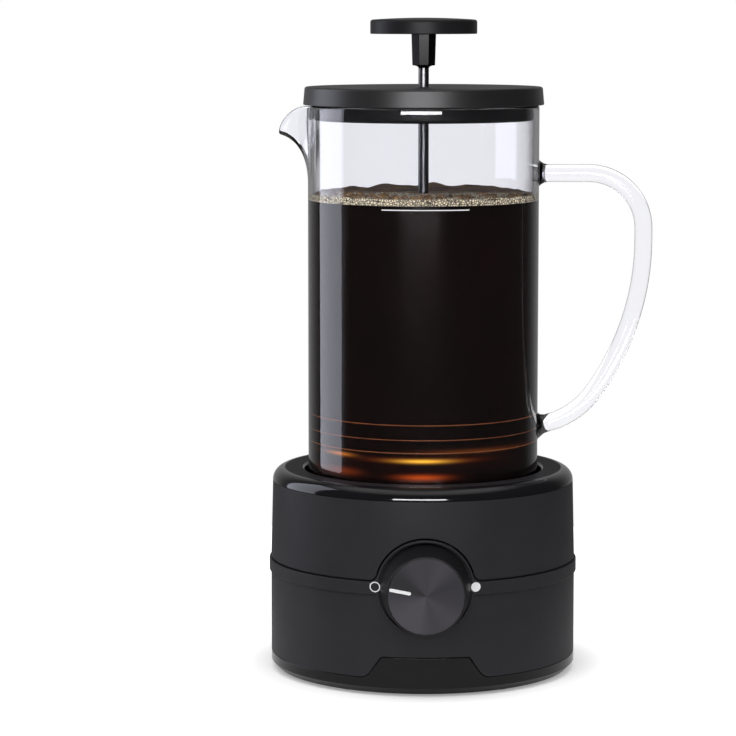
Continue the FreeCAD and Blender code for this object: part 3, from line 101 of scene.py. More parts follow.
def link(tree, start, end):
    tree.links.new(start, end)


def setValue(tree, socket, value):
    if isinstance(value, bpy.types.NodeSocket):
        link(tree, value, socket)
    else:
        socket.default_value = value


def setPlain(shader, values):
    for key, value in values.items():
        shader.inputs[key].default_value = value


def newGroup(name, inputs, outputs):
    tree = bpy.data.node_groups.new(name, "ShaderNodeTree")
    for label, kind, value in inputs:
        socket = tree.interface.new_socket(name=label, in_out="INPUT", socket_type="NodeSocket" + kind)
        socket.default_value = value
    for label in outputs:
        kind = "Color" if label == "Color" else "Float"
        tree.interface.new_socket(name=label, in_out="OUTPUT", socket_type="NodeSocket" + kind)
    given = addNode(tree, "NodeGroupInput", (-900, 0)).outputs
    made = addNode(tree, "NodeGroupOutput", (900, 0)).inputs
    return tree, given, made


def useGroup(tree, group, place, **values):
    node = addNode(tree, "ShaderNodeGroup", place, node_tree=group)
    for key, value in values.items():
        setValue(tree, node.inputs[key], value)
    return node.outputs


def addMath(tree, operation, place, *values, clamp=False):
    node = addNode(tree, "ShaderNodeMath", place, operation=operation, use_clamp=clamp)
    for socket, value in zip(node.inputs, values):
        setValue(tree, socket, value)
    return node.outputs[0]


def addVectorMath(tree, operation, place, *values):
    node = addNode(tree, "ShaderNodeVectorMath", place, operation=operation)
    for socket, value in zip(node.inputs, values):
        setValue(tree, socket, value)
    return node.outputs["Value" if operation == "LENGTH" else "Vector"]


def addRamp(tree, place, value, low, high, start=0.0, end=1.0, soft=False):
    # what lies between low and high becomes what lies between start and end
    node = addNode(tree, "ShaderNodeMapRange", place, {1: low, 2: high, 3: start, 4: end},
                   interpolation_type="SMOOTHSTEP" if soft else "LINEAR")
    link(tree, value, node.inputs[0])
    return node.outputs[0]


def addNoise(tree, place, vector, scale, detail, roughness=0.5, distortion=0.0):
    node = addNode(tree, "ShaderNodeTexNoise", place,
                   {"Detail": detail, "Roughness": roughness, "Distortion": distortion})
    link(tree, vector, node.inputs["Vector"])
    setValue(tree, node.inputs["Scale"], scale)
    return node.outputs["Fac"]


def mixColours(tree, place, share, first, second, blend="MIX"):
    node = addNode(tree, "ShaderNodeMix", place, data_type="RGBA", blend_type=blend)
    for index, value in ((0, share), (6, first), (7, second)):
        setValue(tree, node.inputs[index], value)
    return node.outputs[2]


def objectCoords(tree, place=(-900, -300)):
    return addNode(tree, "ShaderNodeTexCoord", place).outputs["Object"]


def placeParts(tree, place=(-700, 0), source="Object"):
    # the three parts of a place on the object, or of a direction in the world
    coords = addNode(tree, "ShaderNodeTexCoord", (place[0] - 200, place[1]))
    parts = addNode(tree, "ShaderNodeSeparateXYZ", place)
    link(tree, coords.outputs[source], parts.inputs[0])
    return parts.outputs


# moulded grain: a fine skin texture and a slow drift in gloss

def mouldGrainGroup():
    tree, given, made = newGroup("mouldGrain", [
        ("Scale", "Float", 2600.0), ("Roughness", "Float", 0.4), ("Spread", "Float", 0.08)],
        ["Height", "Roughness"])
    coords = objectCoords(tree)
    slow = addNoise(tree, (-500, -200), coords, 38.0, 3.0)
    centred = addMath(tree, "SUBTRACT", (-200, -200), slow, 0.5)
    drift = addMath(tree, "MULTIPLY_ADD", (100, -200), centred, given["Spread"], given["Roughness"])
    link(tree, addNoise(tree, (-500, 200), coords, given["Scale"], 2.0, 0.55), made["Height"])
    link(tree, drift, made["Roughness"])
    return tree


# colour drift: two close colours that change over the surface

def colourDriftGroup():
    tree, given, made = newGroup("colourDrift", [
        ("Main", "Color", (0.02, 0.02, 0.02, 1)), ("Second", "Color", (0.03, 0.03, 0.03, 1)),
        ("Scale", "Float", 60.0), ("Contrast", "Float", 1.0)], ["Color"])
    cloud = addNoise(tree, (-500, 0), objectCoords(tree), given["Scale"], 4.0)
    centred = addMath(tree, "SUBTRACT", (-300, 0), cloud, 0.5)
    mask = addMath(tree, "MULTIPLY_ADD", (-100, 0), centred, given["Contrast"], 0.5, clamp=True)
    link(tree, mixColours(tree, (200, 0), mask, given["Main"], given["Second"]), made["Color"])
    return tree


# turned lines: fine rings about an axis, as a lathe or a brush leaves them, and a painted sheen that changes
# with the way round the axis

def turnedLinesGroup():
    tree, given, made = newGroup("turnedLines", [
        ("Centre", "Vector", (0, 0, 0)), ("Across", "Vector", (1, 1, 0)), ("Density", "Float", 2400.0)],
        ["Height", "PaintedSheen"])
    moved = addVectorMath(tree, "SUBTRACT", (-700, 0), objectCoords(tree), given["Centre"])
    flat = addVectorMath(tree, "MULTIPLY", (-500, 0), moved, given["Across"])
    reach = addVectorMath(tree, "LENGTH", (-300, 0), flat)
    rings = addNode(tree, "ShaderNodeTexNoise", (100, 0), {"Scale": 1.0, "Detail": 3.0, "Roughness": 0.7},
                    noise_dimensions="1D")
    link(tree, addMath(tree, "MULTIPLY", (-100, 0), reach, given["Density"]), rings.inputs["W"])
    # the painted sheen: a slow change with the way round the axis, standing in for a brushed reflection
    way = addVectorMath(tree, "NORMALIZE", (-300, -250), flat)
    link(tree, rings.outputs["Fac"], made["Height"])
    link(tree, addNoise(tree, (100, -250), way, 0.62, 1.0, 0.42), made["PaintedSheen"])
    return tree


# handling marks: soft patches where a surface has been wiped or touched

def wipeMarksGroup():
    tree, given, made = newGroup("wipeMarks", [
        ("Scale", "Float", 30.0), ("Roughness", "Float", 0.1), ("Strength", "Float", 0.08)], ["Roughness"])
    stretch = addNode(tree, "ShaderNodeMapping", (-700, 0), {"Scale": (1.0, 1.0, 0.45)})
    link(tree, objectCoords(tree), stretch.inputs["Vector"])
    patch = addNoise(tree, (-450, 0), stretch.outputs[0], given["Scale"], 5.0, distortion=0.6)
    wiped = addRamp(tree, (-200, 0), patch, 0.45, 0.75)
    rough = addMath(tree, "MULTIPLY_ADD", (100, 0), wiped, given["Strength"], given["Roughness"])
    link(tree, rough, made["Roughness"])
    return tree


# a soft spot of painted glow on the front of a drum, by its place across and its height

def glowSpotGroup():
    tree, given, made = newGroup("glowSpot", [
        ("Across", "Float", 0.0), ("Level", "Float", 0.1), ("Width", "Float", 0.01),
        ("Height", "Float", 0.001)], ["Mask"])
    x, y, z = placeParts(tree)
    squares = []
    for part, middle, half, row in ((x, "Across", "Width", 200), (z, "Level", "Height", 0)):
        away = addMath(tree, "SUBTRACT", (-500, row), part, given[middle])
        away = addMath(tree, "DIVIDE", (-300, row), away, given[half])
        squares.append(addMath(tree, "MULTIPLY", (-100, row), away, away))
    total = addMath(tree, "ADD", (100, 100), *squares)
    fall = addMath(tree, "MULTIPLY", (250, 100), total, -1.0)
    bell = addMath(tree, "POWER", (400, 100), 2.718, fall)
    front = addMath(tree, "LESS_THAN", (400, -100), y, 0.0)
    link(tree, addMath(tree, "MULTIPLY", (600, 0), bell, front), made["Mask"])
    return tree


mouldGrain = mouldGrainGroup()
colourDrift = colourDriftGroup()
turnedLines = turnedLinesGroup()
wipeMarks = wipeMarksGroup()
glowSpot = glowSpotGroup()
print("shared node groups made")


# finishes

def startMaterial(name):
    material = bpy.data.materials.new(name)
    material.use_nodes = True
    tree = material.node_tree
    tree.nodes.clear()
    end = addNode(tree, "ShaderNodeOutputMaterial", (700, 0))
    shader = addNode(tree, "ShaderNodeBsdfPrincipled", (350, 0))
    link(tree, shader.outputs[0], end.inputs[0])
    return material, tree, shader


def addBump(tree, shader, height, distance, strength=1.0):
    bump = addNode(tree, "ShaderNodeBump", (100, -450), {"Strength": strength, "Distance": distance})
    link(tree, height, bump.inputs["Height"])
    link(tree, bump.outputs[0], shader.inputs["Normal"])


def addColour(tree, shader, main, second, scale, contrast):
    colour = useGroup(tree, colourDrift, (-350, 200), Main=main, Second=second, Scale=scale,
                      Contrast=contrast)
    link(tree, colour["Color"], shader.inputs["Base Color"])


def plasticFinish(name, main, second, rough, grain, depth=0.00001, level=0.5, spread=0.08, patch=45.0,
                  contrast=1.6):
    material, tree, shader = startMaterial(name)
    addColour(tree, shader, main, second, patch, contrast)
    skin = useGroup(tree, mouldGrain, (-350, -100), Scale=grain, Roughness=rough, Spread=spread)
    link(tree, skin["Roughness"], shader.inputs["Roughness"])
    addBump(tree, shader, skin["Height"], depth)
    setPlain(shader, {"Specular IOR Level": level})
    return material


def glossFinish(name, main, second, rough, level):
    material, tree, shader = startMaterial(name)
    addColour(tree, shader, main, second, 30.0, 1.2)
    wiped = useGroup(tree, wipeMarks, (-350, -100), Scale=26.0, Roughness=rough, Strength=0.06)
    link(tree, wiped["Roughness"], shader.inputs["Roughness"])
    skin = useGroup(tree, mouldGrain, (-350, -350), Scale=420.0, Roughness=rough, Spread=0.02)
    addBump(tree, shader, skin["Height"], 0.000012, 0.5)
    setPlain(shader, {"Specular IOR Level": level})
    return material


def metalFinish(name, main, second, rough, density):
    material, tree, shader = startMaterial(name)
    addColour(tree, shader, (*main, 1), (*second, 1), 70.0, 1.5)
    wiped = useGroup(tree, wipeMarks, (-350, -100), Scale=40.0, Roughness=rough, Strength=0.05)
    link(tree, wiped["Roughness"], shader.inputs["Roughness"])
    lines = useGroup(tree, turnedLines, (-350, -350), Centre=(0, 0, 0), Across=(1, 1, 0), Density=density)
    addBump(tree, shader, lines["Height"], 0.000006)
    setPlain(shader, {"Metallic": 1.0})
    return material


# clear glass: painted shade darkens its colour where it is seen along the wall, for the dark edges that glass
# shows

def glassFinish():
    values = {"clear": (0.957, 0.957, 0.99, 1), "edge": (0.02, 0.02, 0.025, 1), "edgeShadeStart": 0.46,
              "index": 1.47, "ripple": 16.0}
    material, tree, shader = startMaterial("clearGlass")
    # at grazing angles the colour turns towards the near black edge colour: painted shade
    weight = addNode(tree, "ShaderNodeLayerWeight", (-700, 200), {"Blend": 0.5})
    ramp = addNode(tree, "ShaderNodeValToRGB", (-500, 200))
    ramp.color_ramp.interpolation = "EASE"
    first, last = ramp.color_ramp.elements
    first.position, first.color = values["edgeShadeStart"], values["clear"]
    last.position, last.color = 1.0, values["edge"]
    link(tree, weight.outputs["Facing"], ramp.inputs[0])
    link(tree, ramp.outputs[0], shader.inputs["Base Color"])
    ripple = addNoise(tree, (-500, -200), objectCoords(tree), values["ripple"], 1.0)
    addBump(tree, shader, ripple, 0.00008, 0.25)
    setPlain(shader, {"Metallic": 0.0, "Transmission Weight": 1.0, "Roughness": 0.0,
                      "IOR": values["index"]})
    return material


# the knob's cap: dark metal brushed round its centre, with light and dark sweeps of painted sheen

def knobMetalFinish():
    values = {"dark": tone(34, 33, 36), "light": tone(64, 62, 67), "rough": 0.4, "density": 2600.0,
              "metal": 0.7, "centre": [c * mm for c in (0, knobLow[1], dialLevel)]}
    material, tree, shader = startMaterial("knobMetal")
    lines = useGroup(tree, turnedLines, (-650, -350), Centre=values["centre"], Across=(1, 0, 1),
                     Density=values["density"])
    # dark and light are the shaded and lit parts of the brushed sheen, painted into the colour
    paintedSheen = addRamp(tree, (-350, 200), lines["PaintedSheen"], 0.36, 0.66)
    colour = mixColours(tree, (-50, 200), paintedSheen, values["dark"], values["light"])
    rough = addMath(tree, "MULTIPLY_ADD", (-350, -100), lines["Height"], 0.1, values["rough"])
    link(tree, colour, shader.inputs["Base Color"])
    link(tree, rough, shader.inputs["Roughness"])
    addBump(tree, shader, lines["Height"], 0.00001)
    setPlain(shader, {"Metallic": values["metal"]})
    return material


# the mesh screen: a woven wire cloth, its openings between the wires painted dark as shade

def wireClothFinish():
    values = {"pitch": 3400.0, "wire": (0.52, 0.44, 0.36, 1), "gap": (0.02, 0.015, 0.01, 1), "rough": 0.34}
    material, tree, shader = startMaterial("wireCloth")
    parts = placeParts(tree, (-900, 0))
    waves = []
    for part, row in ((parts[0], 200), (parts[1], 0)):
        run = addMath(tree, "MULTIPLY", (-700, row), part, values["pitch"])
        waves.append(addMath(tree, "ABSOLUTE", (-400, row), addMath(tree, "SINE", (-550, row), run)))
    top = addMath(tree, "MAXIMUM", (-250, 100), *waves)
    mask = addRamp(tree, (-100, 100), top, 0.72, 0.9)
    colour = mixColours(tree, (100, 200), mask, values["gap"], values["wire"])
    link(tree, colour, shader.inputs["Base Color"])
    link(tree, mask, shader.inputs["Metallic"])
    addBump(tree, shader, top, 0.00006)
    setPlain(shader, {"Roughness": values["rough"]})
    return material


# the circuit board: green lacquer over copper tracks

def boardFinish():
    values = {"lacquer": tone(24, 74, 42), "track": tone(38, 104, 60), "cell": 420.0, "rough": 0.3}
    material, tree, shader = startMaterial("boardGreen")
    cells = addNode(tree, "ShaderNodeTexVoronoi", (-700, 0), {"Scale": values["cell"]},
                    feature="DISTANCE_TO_EDGE")
    link(tree, objectCoords(tree), cells.inputs["Vector"])
    mask = addRamp(tree, (-450, 0), cells.outputs["Distance"], 0.03, 0.08, 1.0, 0.0)
    colour = mixColours(tree, (-150, 200), mask, values["lacquer"], values["track"])
    link(tree, colour, shader.inputs["Base Color"])
    addBump(tree, shader, mask, 0.00004)
    setPlain(shader, {"Roughness": values["rough"]})
    return material


# the coffee: near black, with painted amber glow low down that stands in for light coming through it
# each spot has its place across, level, half width and half height, then its colour and strength

def coffeeFinish():
    values = {
        "deep": tone(13, 9, 8), "side": tone(22, 8, 6), "rough": 0.12, "level": 0.2,
        "spots": [
            ((-1.0, 101.6, 10.0, 0.8), (1.0, 0.55, 0.05), 1.1),
            ((-1.0, 101.8, 19.0, 1.1), (0.42, 0.055, 0.006), 0.42),
            ((-36.5, 102.9, 5.0, 0.8), (0.80, 0.25, 0.03), 0.6),
            ((-1.0, 94.4, 9.0, 1.2), (0.95, 0.12, 0.01), 0.5),
            ((-36.0, 95.4, 7.0, 1.6), (0.40, 0.06, 0.01), 0.35),
            ((20.0, 105.6, 20.0, 1.0), (0.24, 0.06, 0.01), 0.35),
            ((0.0, 98.5, 40.0, 2.4), (0.012, 0.001, 0.0002), 0.3),
        ],
    }
    black = (0, 0, 0, 1)
    material, tree, shader = startMaterial("coffee")
    addColour(tree, shader, values["deep"], values["side"], 18.0, 1.4)
    wiped = useGroup(tree, wipeMarks, (-350, 80), Scale=20.0, Roughness=values["rough"], Strength=0.05)
    link(tree, wiped["Roughness"], shader.inputs["Roughness"])
    # the spots add up to an emitted colour: painted glow
    light = black
    for i, (spot, glow, strength) in enumerate(values["spots"]):
        row = -200 - 220 * i
        x, z, halfWidth, halfHeight = [c * mm for c in spot]
        spot = useGroup(tree, glowSpot, (-900, row), Across=x, Level=z, Width=halfWidth, Height=halfHeight)
        tint = mixColours(tree, (-650, row), spot["Mask"], black, [c * strength for c in glow] + [1])
        light = mixColours(tree, (-400, row), 1.0, light, tint, "ADD")
    link(tree, light, shader.inputs["Emission Color"])
    setPlain(shader, {"Emission Strength": 1.0, "Specular IOR Level": values["level"]})
    return material


# the foam: cream bubbles with dark gaps in front, brown streaks behind

def foamFinish():
    values = {"cream": tone(250, 238, 208), "gap": tone(44, 30, 18), "brown": tone(78, 52, 34),
              "tan": tone(128, 98, 66), "cell": 900.0, "streak": 60.0, "wander": 0.05,
              "frontEdge": (0.018, 0.034), "rough": 0.5, "level": 0.12}
    material, tree, shader = startMaterial("foam")
    coords = objectCoords(tree, (-1200, 0))
    cells = addNode(tree, "ShaderNodeTexVoronoi", (-900, 200), {"Scale": values["cell"], "Randomness": 0.9},
                    feature="DISTANCE_TO_EDGE")
    link(tree, coords, cells.inputs["Vector"])
    cellMask = addRamp(tree, (-700, 200), cells.outputs["Distance"], 0.03, 0.22)
    bubbles = mixColours(tree, (-450, 250), cellMask, values["gap"], values["cream"])
    stretch = addNode(tree, "ShaderNodeMapping", (-1050, -100), {"Scale": (0.5, 1.3, 1.0)})
    link(tree, coords, stretch.inputs["Vector"])
    streak = addNoise(tree, (-900, -100), stretch.outputs[0], values["streak"], 5.0, distortion=1.2)
    waves = addRamp(tree, (-700, -100), streak, 0.42, 0.62)
    behind = mixColours(tree, (-450, -50), waves, values["brown"], values["tan"])
    depth = placeParts(tree, (-900, -350))[1]
    wander = addMath(tree, "MULTIPLY_ADD", (-700, -350), streak, values["wander"], depth)
    front = addRamp(tree, (-500, -350), wander, *values["frontEdge"], 1.0, 0.0)
    link(tree, mixColours(tree, (-150, 150), front, behind, bubbles), shader.inputs["Base Color"])
    addBump(tree, shader, cellMask, 0.0002)
    setPlain(shader, {"Roughness": values["rough"], "Specular IOR Level": values["level"]})
    return material


# plastics: main and second colour, roughness, grain, depth of the grain, gloss level

housingMatte = plasticFinish("housingMatte", tone(42, 41, 44), tone(48, 47, 50), 0.5, 1900.0, 0.00002, 0.12)
deckSatin = plasticFinish("deckSatin", tone(37, 36, 38), tone(43, 41, 44), 0.5, 1500.0, 0.00002, 0.04)
lidSatin = plasticFinish("lidSatin", tone(27, 26, 27), tone(34, 33, 34), 0.38, 1600.0, 0.00002, 0.5)
lidTopMatte = plasticFinish("lidTopMatte", tone(27, 26, 27), tone(34, 33, 34), 0.42, 1600.0, 0.00002, 0.16)
plugSatin = plasticFinish("plugSatin", tone(20, 19, 20), tone(26, 25, 26), 0.4, 1600.0, 0.00002, 0.1)
discSatin = plasticFinish("discSatin", tone(27, 27, 29), tone(34, 34, 36), 0.42, 1600.0, 0.00002, 0.14)
rubberBlack = plasticFinish("rubberBlack", tone(22, 22, 22), tone(32, 32, 31), 0.72, 1100.0, 0.00004, 0.3)
siliconeGrey = plasticFinish("siliconeGrey", tone(96, 92, 88), tone(112, 108, 103), 0.5, 1300.0, 0.00002)
innerPlastic = plasticFinish("innerPlastic", tone(44, 44, 46), tone(56, 55, 58), 0.55, 1400.0, 0.00003)
filterPlastic = plasticFinish("filterPlastic", tone(30, 24, 21), tone(46, 36, 30), 0.32, 1300.0)
# amber that stands in for the lit thin coffee where the filter rings meet the glass: painted glow
sealAmberGlow = plasticFinish("sealAmberGlow", tone(150, 84, 36), tone(104, 52, 22), 0.4, 1300.0, level=0.3)
switchBlack = plasticFinish("switchBlack", tone(26, 26, 28), tone(36, 36, 38), 0.5, 1800.0)
componentBlack = plasticFinish("componentBlack", tone(28, 28, 30), tone(44, 42, 46), 0.42, 2400.0)
printWhite = plasticFinish("printWhite", tone(252, 252, 252), tone(244, 244, 246), 0.5, 5200.0, 0.000008,
                           spread=0.1, patch=900.0, contrast=1.0)
foamBubble = plasticFinish("foamBubble", tone(66, 42, 26), tone(150, 118, 80), 0.14, 900.0, 0.00002,
                           spread=0.05, patch=240.0, contrast=2.6)

# glossy plastics: main and second colour, roughness, gloss level

glossBlack = glossFinish("glossBlack", tone(18, 17, 19), tone(24, 22, 25), 0.07, 0.4)
trayGloss = glossFinish("trayGloss", tone(15, 13, 15), tone(20, 18, 20), 0.16, 0.22)
collarBlack = glossFinish("collarBlack", tone(14, 13, 14), tone(19, 18, 20), 0.18, 0.1)
knobBlack = glossFinish("knobBlack", tone(18, 17, 19), tone(24, 23, 25), 0.42, 0.2)

# metals: main and second colour, roughness, density of the turned lines

rodSteel = metalFinish("rodSteel", (0.15, 0.15, 0.155), (0.09, 0.09, 0.095), 0.3, 600.0)
zincSteel = metalFinish("zincSteel", (0.55, 0.56, 0.58), (0.42, 0.43, 0.46), 0.34, 900.0)
screwSteel = metalFinish("screwSteel", (0.40, 0.40, 0.41), (0.30, 0.30, 0.31), 0.3, 2600.0)
motorSteel = metalFinish("motorSteel", (0.58, 0.58, 0.57), (0.44, 0.44, 0.44), 0.28, 1500.0)
filterSteel = metalFinish("filterSteel", (0.50, 0.42, 0.34), (0.36, 0.27, 0.20), 0.3, 1700.0)
bearingBronze = metalFinish("bearingBronze", (0.50, 0.33, 0.15), (0.38, 0.23, 0.10), 0.38, 1800.0)
magnetNickel = metalFinish("magnetNickel", (0.62, 0.60, 0.56), (0.48, 0.46, 0.43), 0.16, 1300.0)

clearGlass = glassFinish()
knobMetal = knobMetalFinish()
wireCloth = wireClothFinish()
boardGreen = boardFinish()
coffeeDark = coffeeFinish()
foamCream = foamFinish()
print("finishes made:", len(bpy.data.materials))


# mesh helpers, all in millimetres

def arcBetween(before, corner, after, radius, steps):
    a, b = Vector(before) - Vector(corner), Vector(after) - Vector(corner)
    a.normalize()
    b.normalize()
    half = a.angle(b) / 2
    back = radius / math.tan(half)
    centre = Vector(corner) + (a + b).normalized() * (radius / math.sin(half))
    v0, v1 = Vector(corner) + a * back - centre, Vector(corner) + b * back - centre
    turn = math.atan2(v0.x * v1.y - v0.y * v1.x, v0.dot(v1))
    points = []
    for i in range(steps + 1):
        c, s = math.cos(turn * i / steps), math.sin(turn * i / steps)
        points.append((centre.x + v0.x * c - v0.y * s, centre.y + v0.x * s + v0.y * c))
    return points


def roundedPath(corners, rounds, closed=True, steps=5):
    # rounds gives a radius for some of the corners
    points = []
    count = len(corners)
    for i, corner in enumerate(corners):
        radius = rounds.get(i, 0)
        if radius <= 0 or (not closed and i in (0, count - 1)):
            points.append(tuple(corner))
        else:
            points += arcBetween(corners[i - 1], corner, corners[(i + 1) % count], radius, steps)
    return points


def rawObject(name, verts, faces, marks=()):
    mesh = bpy.data.meshes.new(name)
    mesh.from_pydata([tuple(c * mm for c in v) for v in verts], [], faces)
    for polygon, index in zip(mesh.polygons, marks):
        polygon.material_index = index
    turner = bmesh.new()
    turner.from_mesh(mesh)
    bmesh.ops.recalc_face_normals(turner, faces=turner.faces)
    turner.to_mesh(mesh)
    turner.free()
    obj = bpy.data.objects.new(name, mesh)
    bpy.context.scene.collection.objects.link(obj)
    return obj


def shade(mesh, sharp):
    mesh.shade_smooth()
    mesh.set_sharp_from_angle(angle=math.radians(sharp))


def dress(obj, finishes, body, stands=(), sharp=32):
    for finish in finishes:
        obj.data.materials.append(finish)
    shade(obj.data, sharp)
    weighted = obj.modifiers.new("weightedNormals", "WEIGHTED_NORMAL")
    weighted.keep_sharp = True
    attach(obj, body)
    if stands:
        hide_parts(*stands)


def evaluatedMesh(obj):
    bpy.context.view_layer.update()
    return bpy.data.meshes.new_from_object(obj.evaluated_get(bpy.context.evaluated_depsgraph_get()))


def combine(obj, other, operation="DIFFERENCE"):
    step = obj.modifiers.new("combine", "BOOLEAN")
    step.operation, step.solver, step.object = operation, "EXACT", other
    mesh = evaluatedMesh(obj)
    obj.modifiers.clear()
    obj.data = mesh
    bpy.data.objects.remove(other)


def gridFaces(rows, columns, closedRows=False):
    faces = []
    for i in range(rows if closedRows else rows - 1):
        for j in range(columns):
            k, n = (i + 1) % rows, (j + 1) % columns
            faces.append((i * columns + j, i * columns + n, k * columns + n, k * columns + j))
    return faces


def fromRows(name, rows, closedRows=False, capped=False):
    count = len(rows[0])
    verts = [v for row in rows for v in row]
    faces = gridFaces(len(rows), count, closedRows)
    if capped:
        faces += [tuple(range(count)), tuple(reversed(range(len(verts) - count, len(verts))))]
    return rawObject(name, verts, faces)


def turned(name, profile, axis="z", centre=(0, 0), segments=192, closed=True, marks=None):
    # profile points are (radius, place along the axis); an open profile may start and end on the axis
    onAxis = 1e-6
    verts, faces, faceMarks, starts = [], [], [], []
    for radius, along in profile:
        starts.append(len(verts))
        for j in range(1 if radius < onAxis else segments):
            turn = math.tau * j / segments
            x, y = centre[0] + radius * math.cos(turn), centre[1] + radius * math.sin(turn)
            verts.append((x, y, along) if axis == "z" else (x, along, y))
    count = len(profile)
    for i in range(count if closed else count - 1):
        k = (i + 1) % count
        a, b = starts[i], starts[k]
        poleA, poleB = profile[i][0] < onAxis, profile[k][0] < onAxis
        if poleA and poleB:
            continue
        for j in range(segments):
            n = (j + 1) % segments
            if poleA:
                faces.append((a, b + j, b + n))
            elif poleB:
                faces.append((a + j, b, a + n))
            else:
                faces.append((a + j, b + j, b + n, a + n))
            faceMarks.append(marks(profile[i], profile[k]) if marks else 0)
    return rawObject(name, verts, faces, faceMarks)


def turnedRounded(name, corners, rounds, steps=5, closed=True, **settings):
    return turned(name, roundedPath(corners, rounds, closed, steps), closed=closed, **settings)


def alongOutline(points, step):
    # the same outline with its points at even steps
    lengths = [0.0]
    for a, b in zip(points, points[1:]):
        lengths.append(lengths[-1] + math.dist(a, b))
    count = max(2, int(round(lengths[-1] / step)))
    made, k = [], 0
    for i in range(count + 1):
        want = lengths[-1] * i / count
        while k < len(points) - 2 and lengths[k + 1] < want:
            k += 1
        t = (want - lengths[k]) / max(1e-9, lengths[k + 1] - lengths[k])
        made.append(tuple(points[k][c] + (points[k + 1][c] - points[k][c]) * t for c in (0, 1)))
    return made


def edgeNormals(points):
    # unit vectors to the left of the outline's run, which goes from -X to +X
    normals = []
    for i in range(len(points)):
        a, b = points[max(0, i - 1)], points[min(len(points) - 1, i + 1)]
        dx, dz = b[0] - a[0], b[1] - a[1]
        length = math.hypot(dx, dz)
        normals.append((-dz / length, dx / length))
    return normals


def wallBand(name, frontEdge, edgeAtTop, low, high, outer, inner, edgeRound, levels):
    # a round wall whose top or bottom edge follows frontEdge near -Y and is level elsewhere
    values = {"step": 0.4, "around": 132, "rings": 4}
    front = alongOutline(frontEdge, values["step"])
    flat, other, side, pick = (high, low, -1, min) if edgeAtTop else (low, high, 1, max)
    columns = [(x, None, z, nx * side, nz * side) for (x, z), (nx, nz) in zip(front, edgeNormals(front))]
    startTurn = math.asin(front[-1][0] / outer(flat))
    for i in range(1, values["around"]):
        turn = startTurn + (math.tau - 2 * startTurn) * i / values["around"]
        columns.append((None, turn, flat, 0.0, side))

    def spot(column, depth, z, shift=0.0):
        # depth goes in from the outer face, and None stands for the inner face
        radius = inner(z) if depth is None else outer(z) - depth
        if column[1] is None:
            x = column[0] + shift
            return (x, -math.sqrt(radius * radius - x * x), z)
        return (radius * math.sin(column[1]), -radius * math.cos(column[1]), z)

    def plainRow(depth, into):
        return [spot(c, depth, other - side * into) for c in columns]

    def edgeRow(depth, into):
        return [spot(c, depth, c[2] + c[4] * into, c[3] * into) for c in columns]

    turns = [math.pi / 2 * k / values["rings"] for k in range(values["rings"] + 1)]
    rounds = [(edgeRound * (1 - math.sin(t)), edgeRound * (1 - math.cos(t))) for t in turns]
    rows = [plainRow(None, 0)] + [plainRow(*place) for place in rounds]
    for level in levels:
        rows.append([spot(c, 0.0, pick(level, c[2] + c[4] * edgeRound)) for c in columns])
    rows += [edgeRow(*place) for place in reversed(rounds)] + [edgeRow(None, 0)]
    return fromRows(name, rows, closedRows=True)


# the base: sizes that its housings, its tray and its dial panel share

base = {
    "wallInner": 66.0,
    "trayTop": 8.2,
    "trayFootRadius": 66.3,
    "trayBevelTop": 4.0,
    "tabTop": 17.6,
    "tabHalfTop": 19.2,
    "tabHalfBottom": 25.6,
    "tabRound": 2.2,
    "tabHollow": 5.5,
    "fitGap": 0.2,
    "beltBottom": 45.0,
    "beltTop": 50.8,
    "beltStep": 0.4,
    "lipTop": 54.2,
    "lipRadius": 67.4,
    "panelRadius": 21.5,
    "panelShoulder": 4.0,
    "seamGap": 0.6,
    "recessRadius": 20.5,
    "recessFloor": 66.2,
    "panelBack": 63.2,
    "bushHole": 3.7,
    "edgeRound": 0.35,
    "frontReach": 28.2,
}


def tabOutline(grow):
    top, low = base["tabTop"] + grow, base["trayTop"]
    halfTop, halfLow = base["tabHalfTop"] + grow, base["tabHalfBottom"] + grow
    reach, hollow, bend = base["frontReach"] + 2, base["tabHollow"] - grow, base["tabRound"] + grow
    corners = [(-reach, low), (-halfLow, low), (-halfTop, top), (halfTop, top), (halfLow, low), (reach, low)]
    return roundedPath(corners, {1: hollow, 2: bend, 3: bend, 4: hollow}, closed=False, steps=10)


def panelOutline(grow, whole=True):
    # the belt's top edge with a shoulder on each side, and the dial panel's arc between them
    radius, bend = base["panelRadius"] + grow, base["panelShoulder"] - grow
    level = base["beltTop"] + grow
    rise = level + bend - dialLevel
    shoulder = math.sqrt((radius + bend) ** 2 - rise ** 2)
    meet = math.atan2(rise, shoulder)
    left, middle = [(-base["frontReach"], level)], []
    for i in range(13):
        turn = (math.pi / 2 - meet) * i / 12
        left.append((-shoulder + bend * math.sin(turn), level + bend * (1 - math.cos(turn))))
    for i in range(1, 80 if whole else 1):
        turn = math.pi - meet - (math.pi - 2 * meet) * i / 80
        middle.append((radius * math.cos(turn), dialLevel + radius * math.sin(turn)))
    return left + middle + [(-x, z) for x, z in reversed(left)]


# lower housing: the wall, the belt with its shoulders and the lip behind the seam

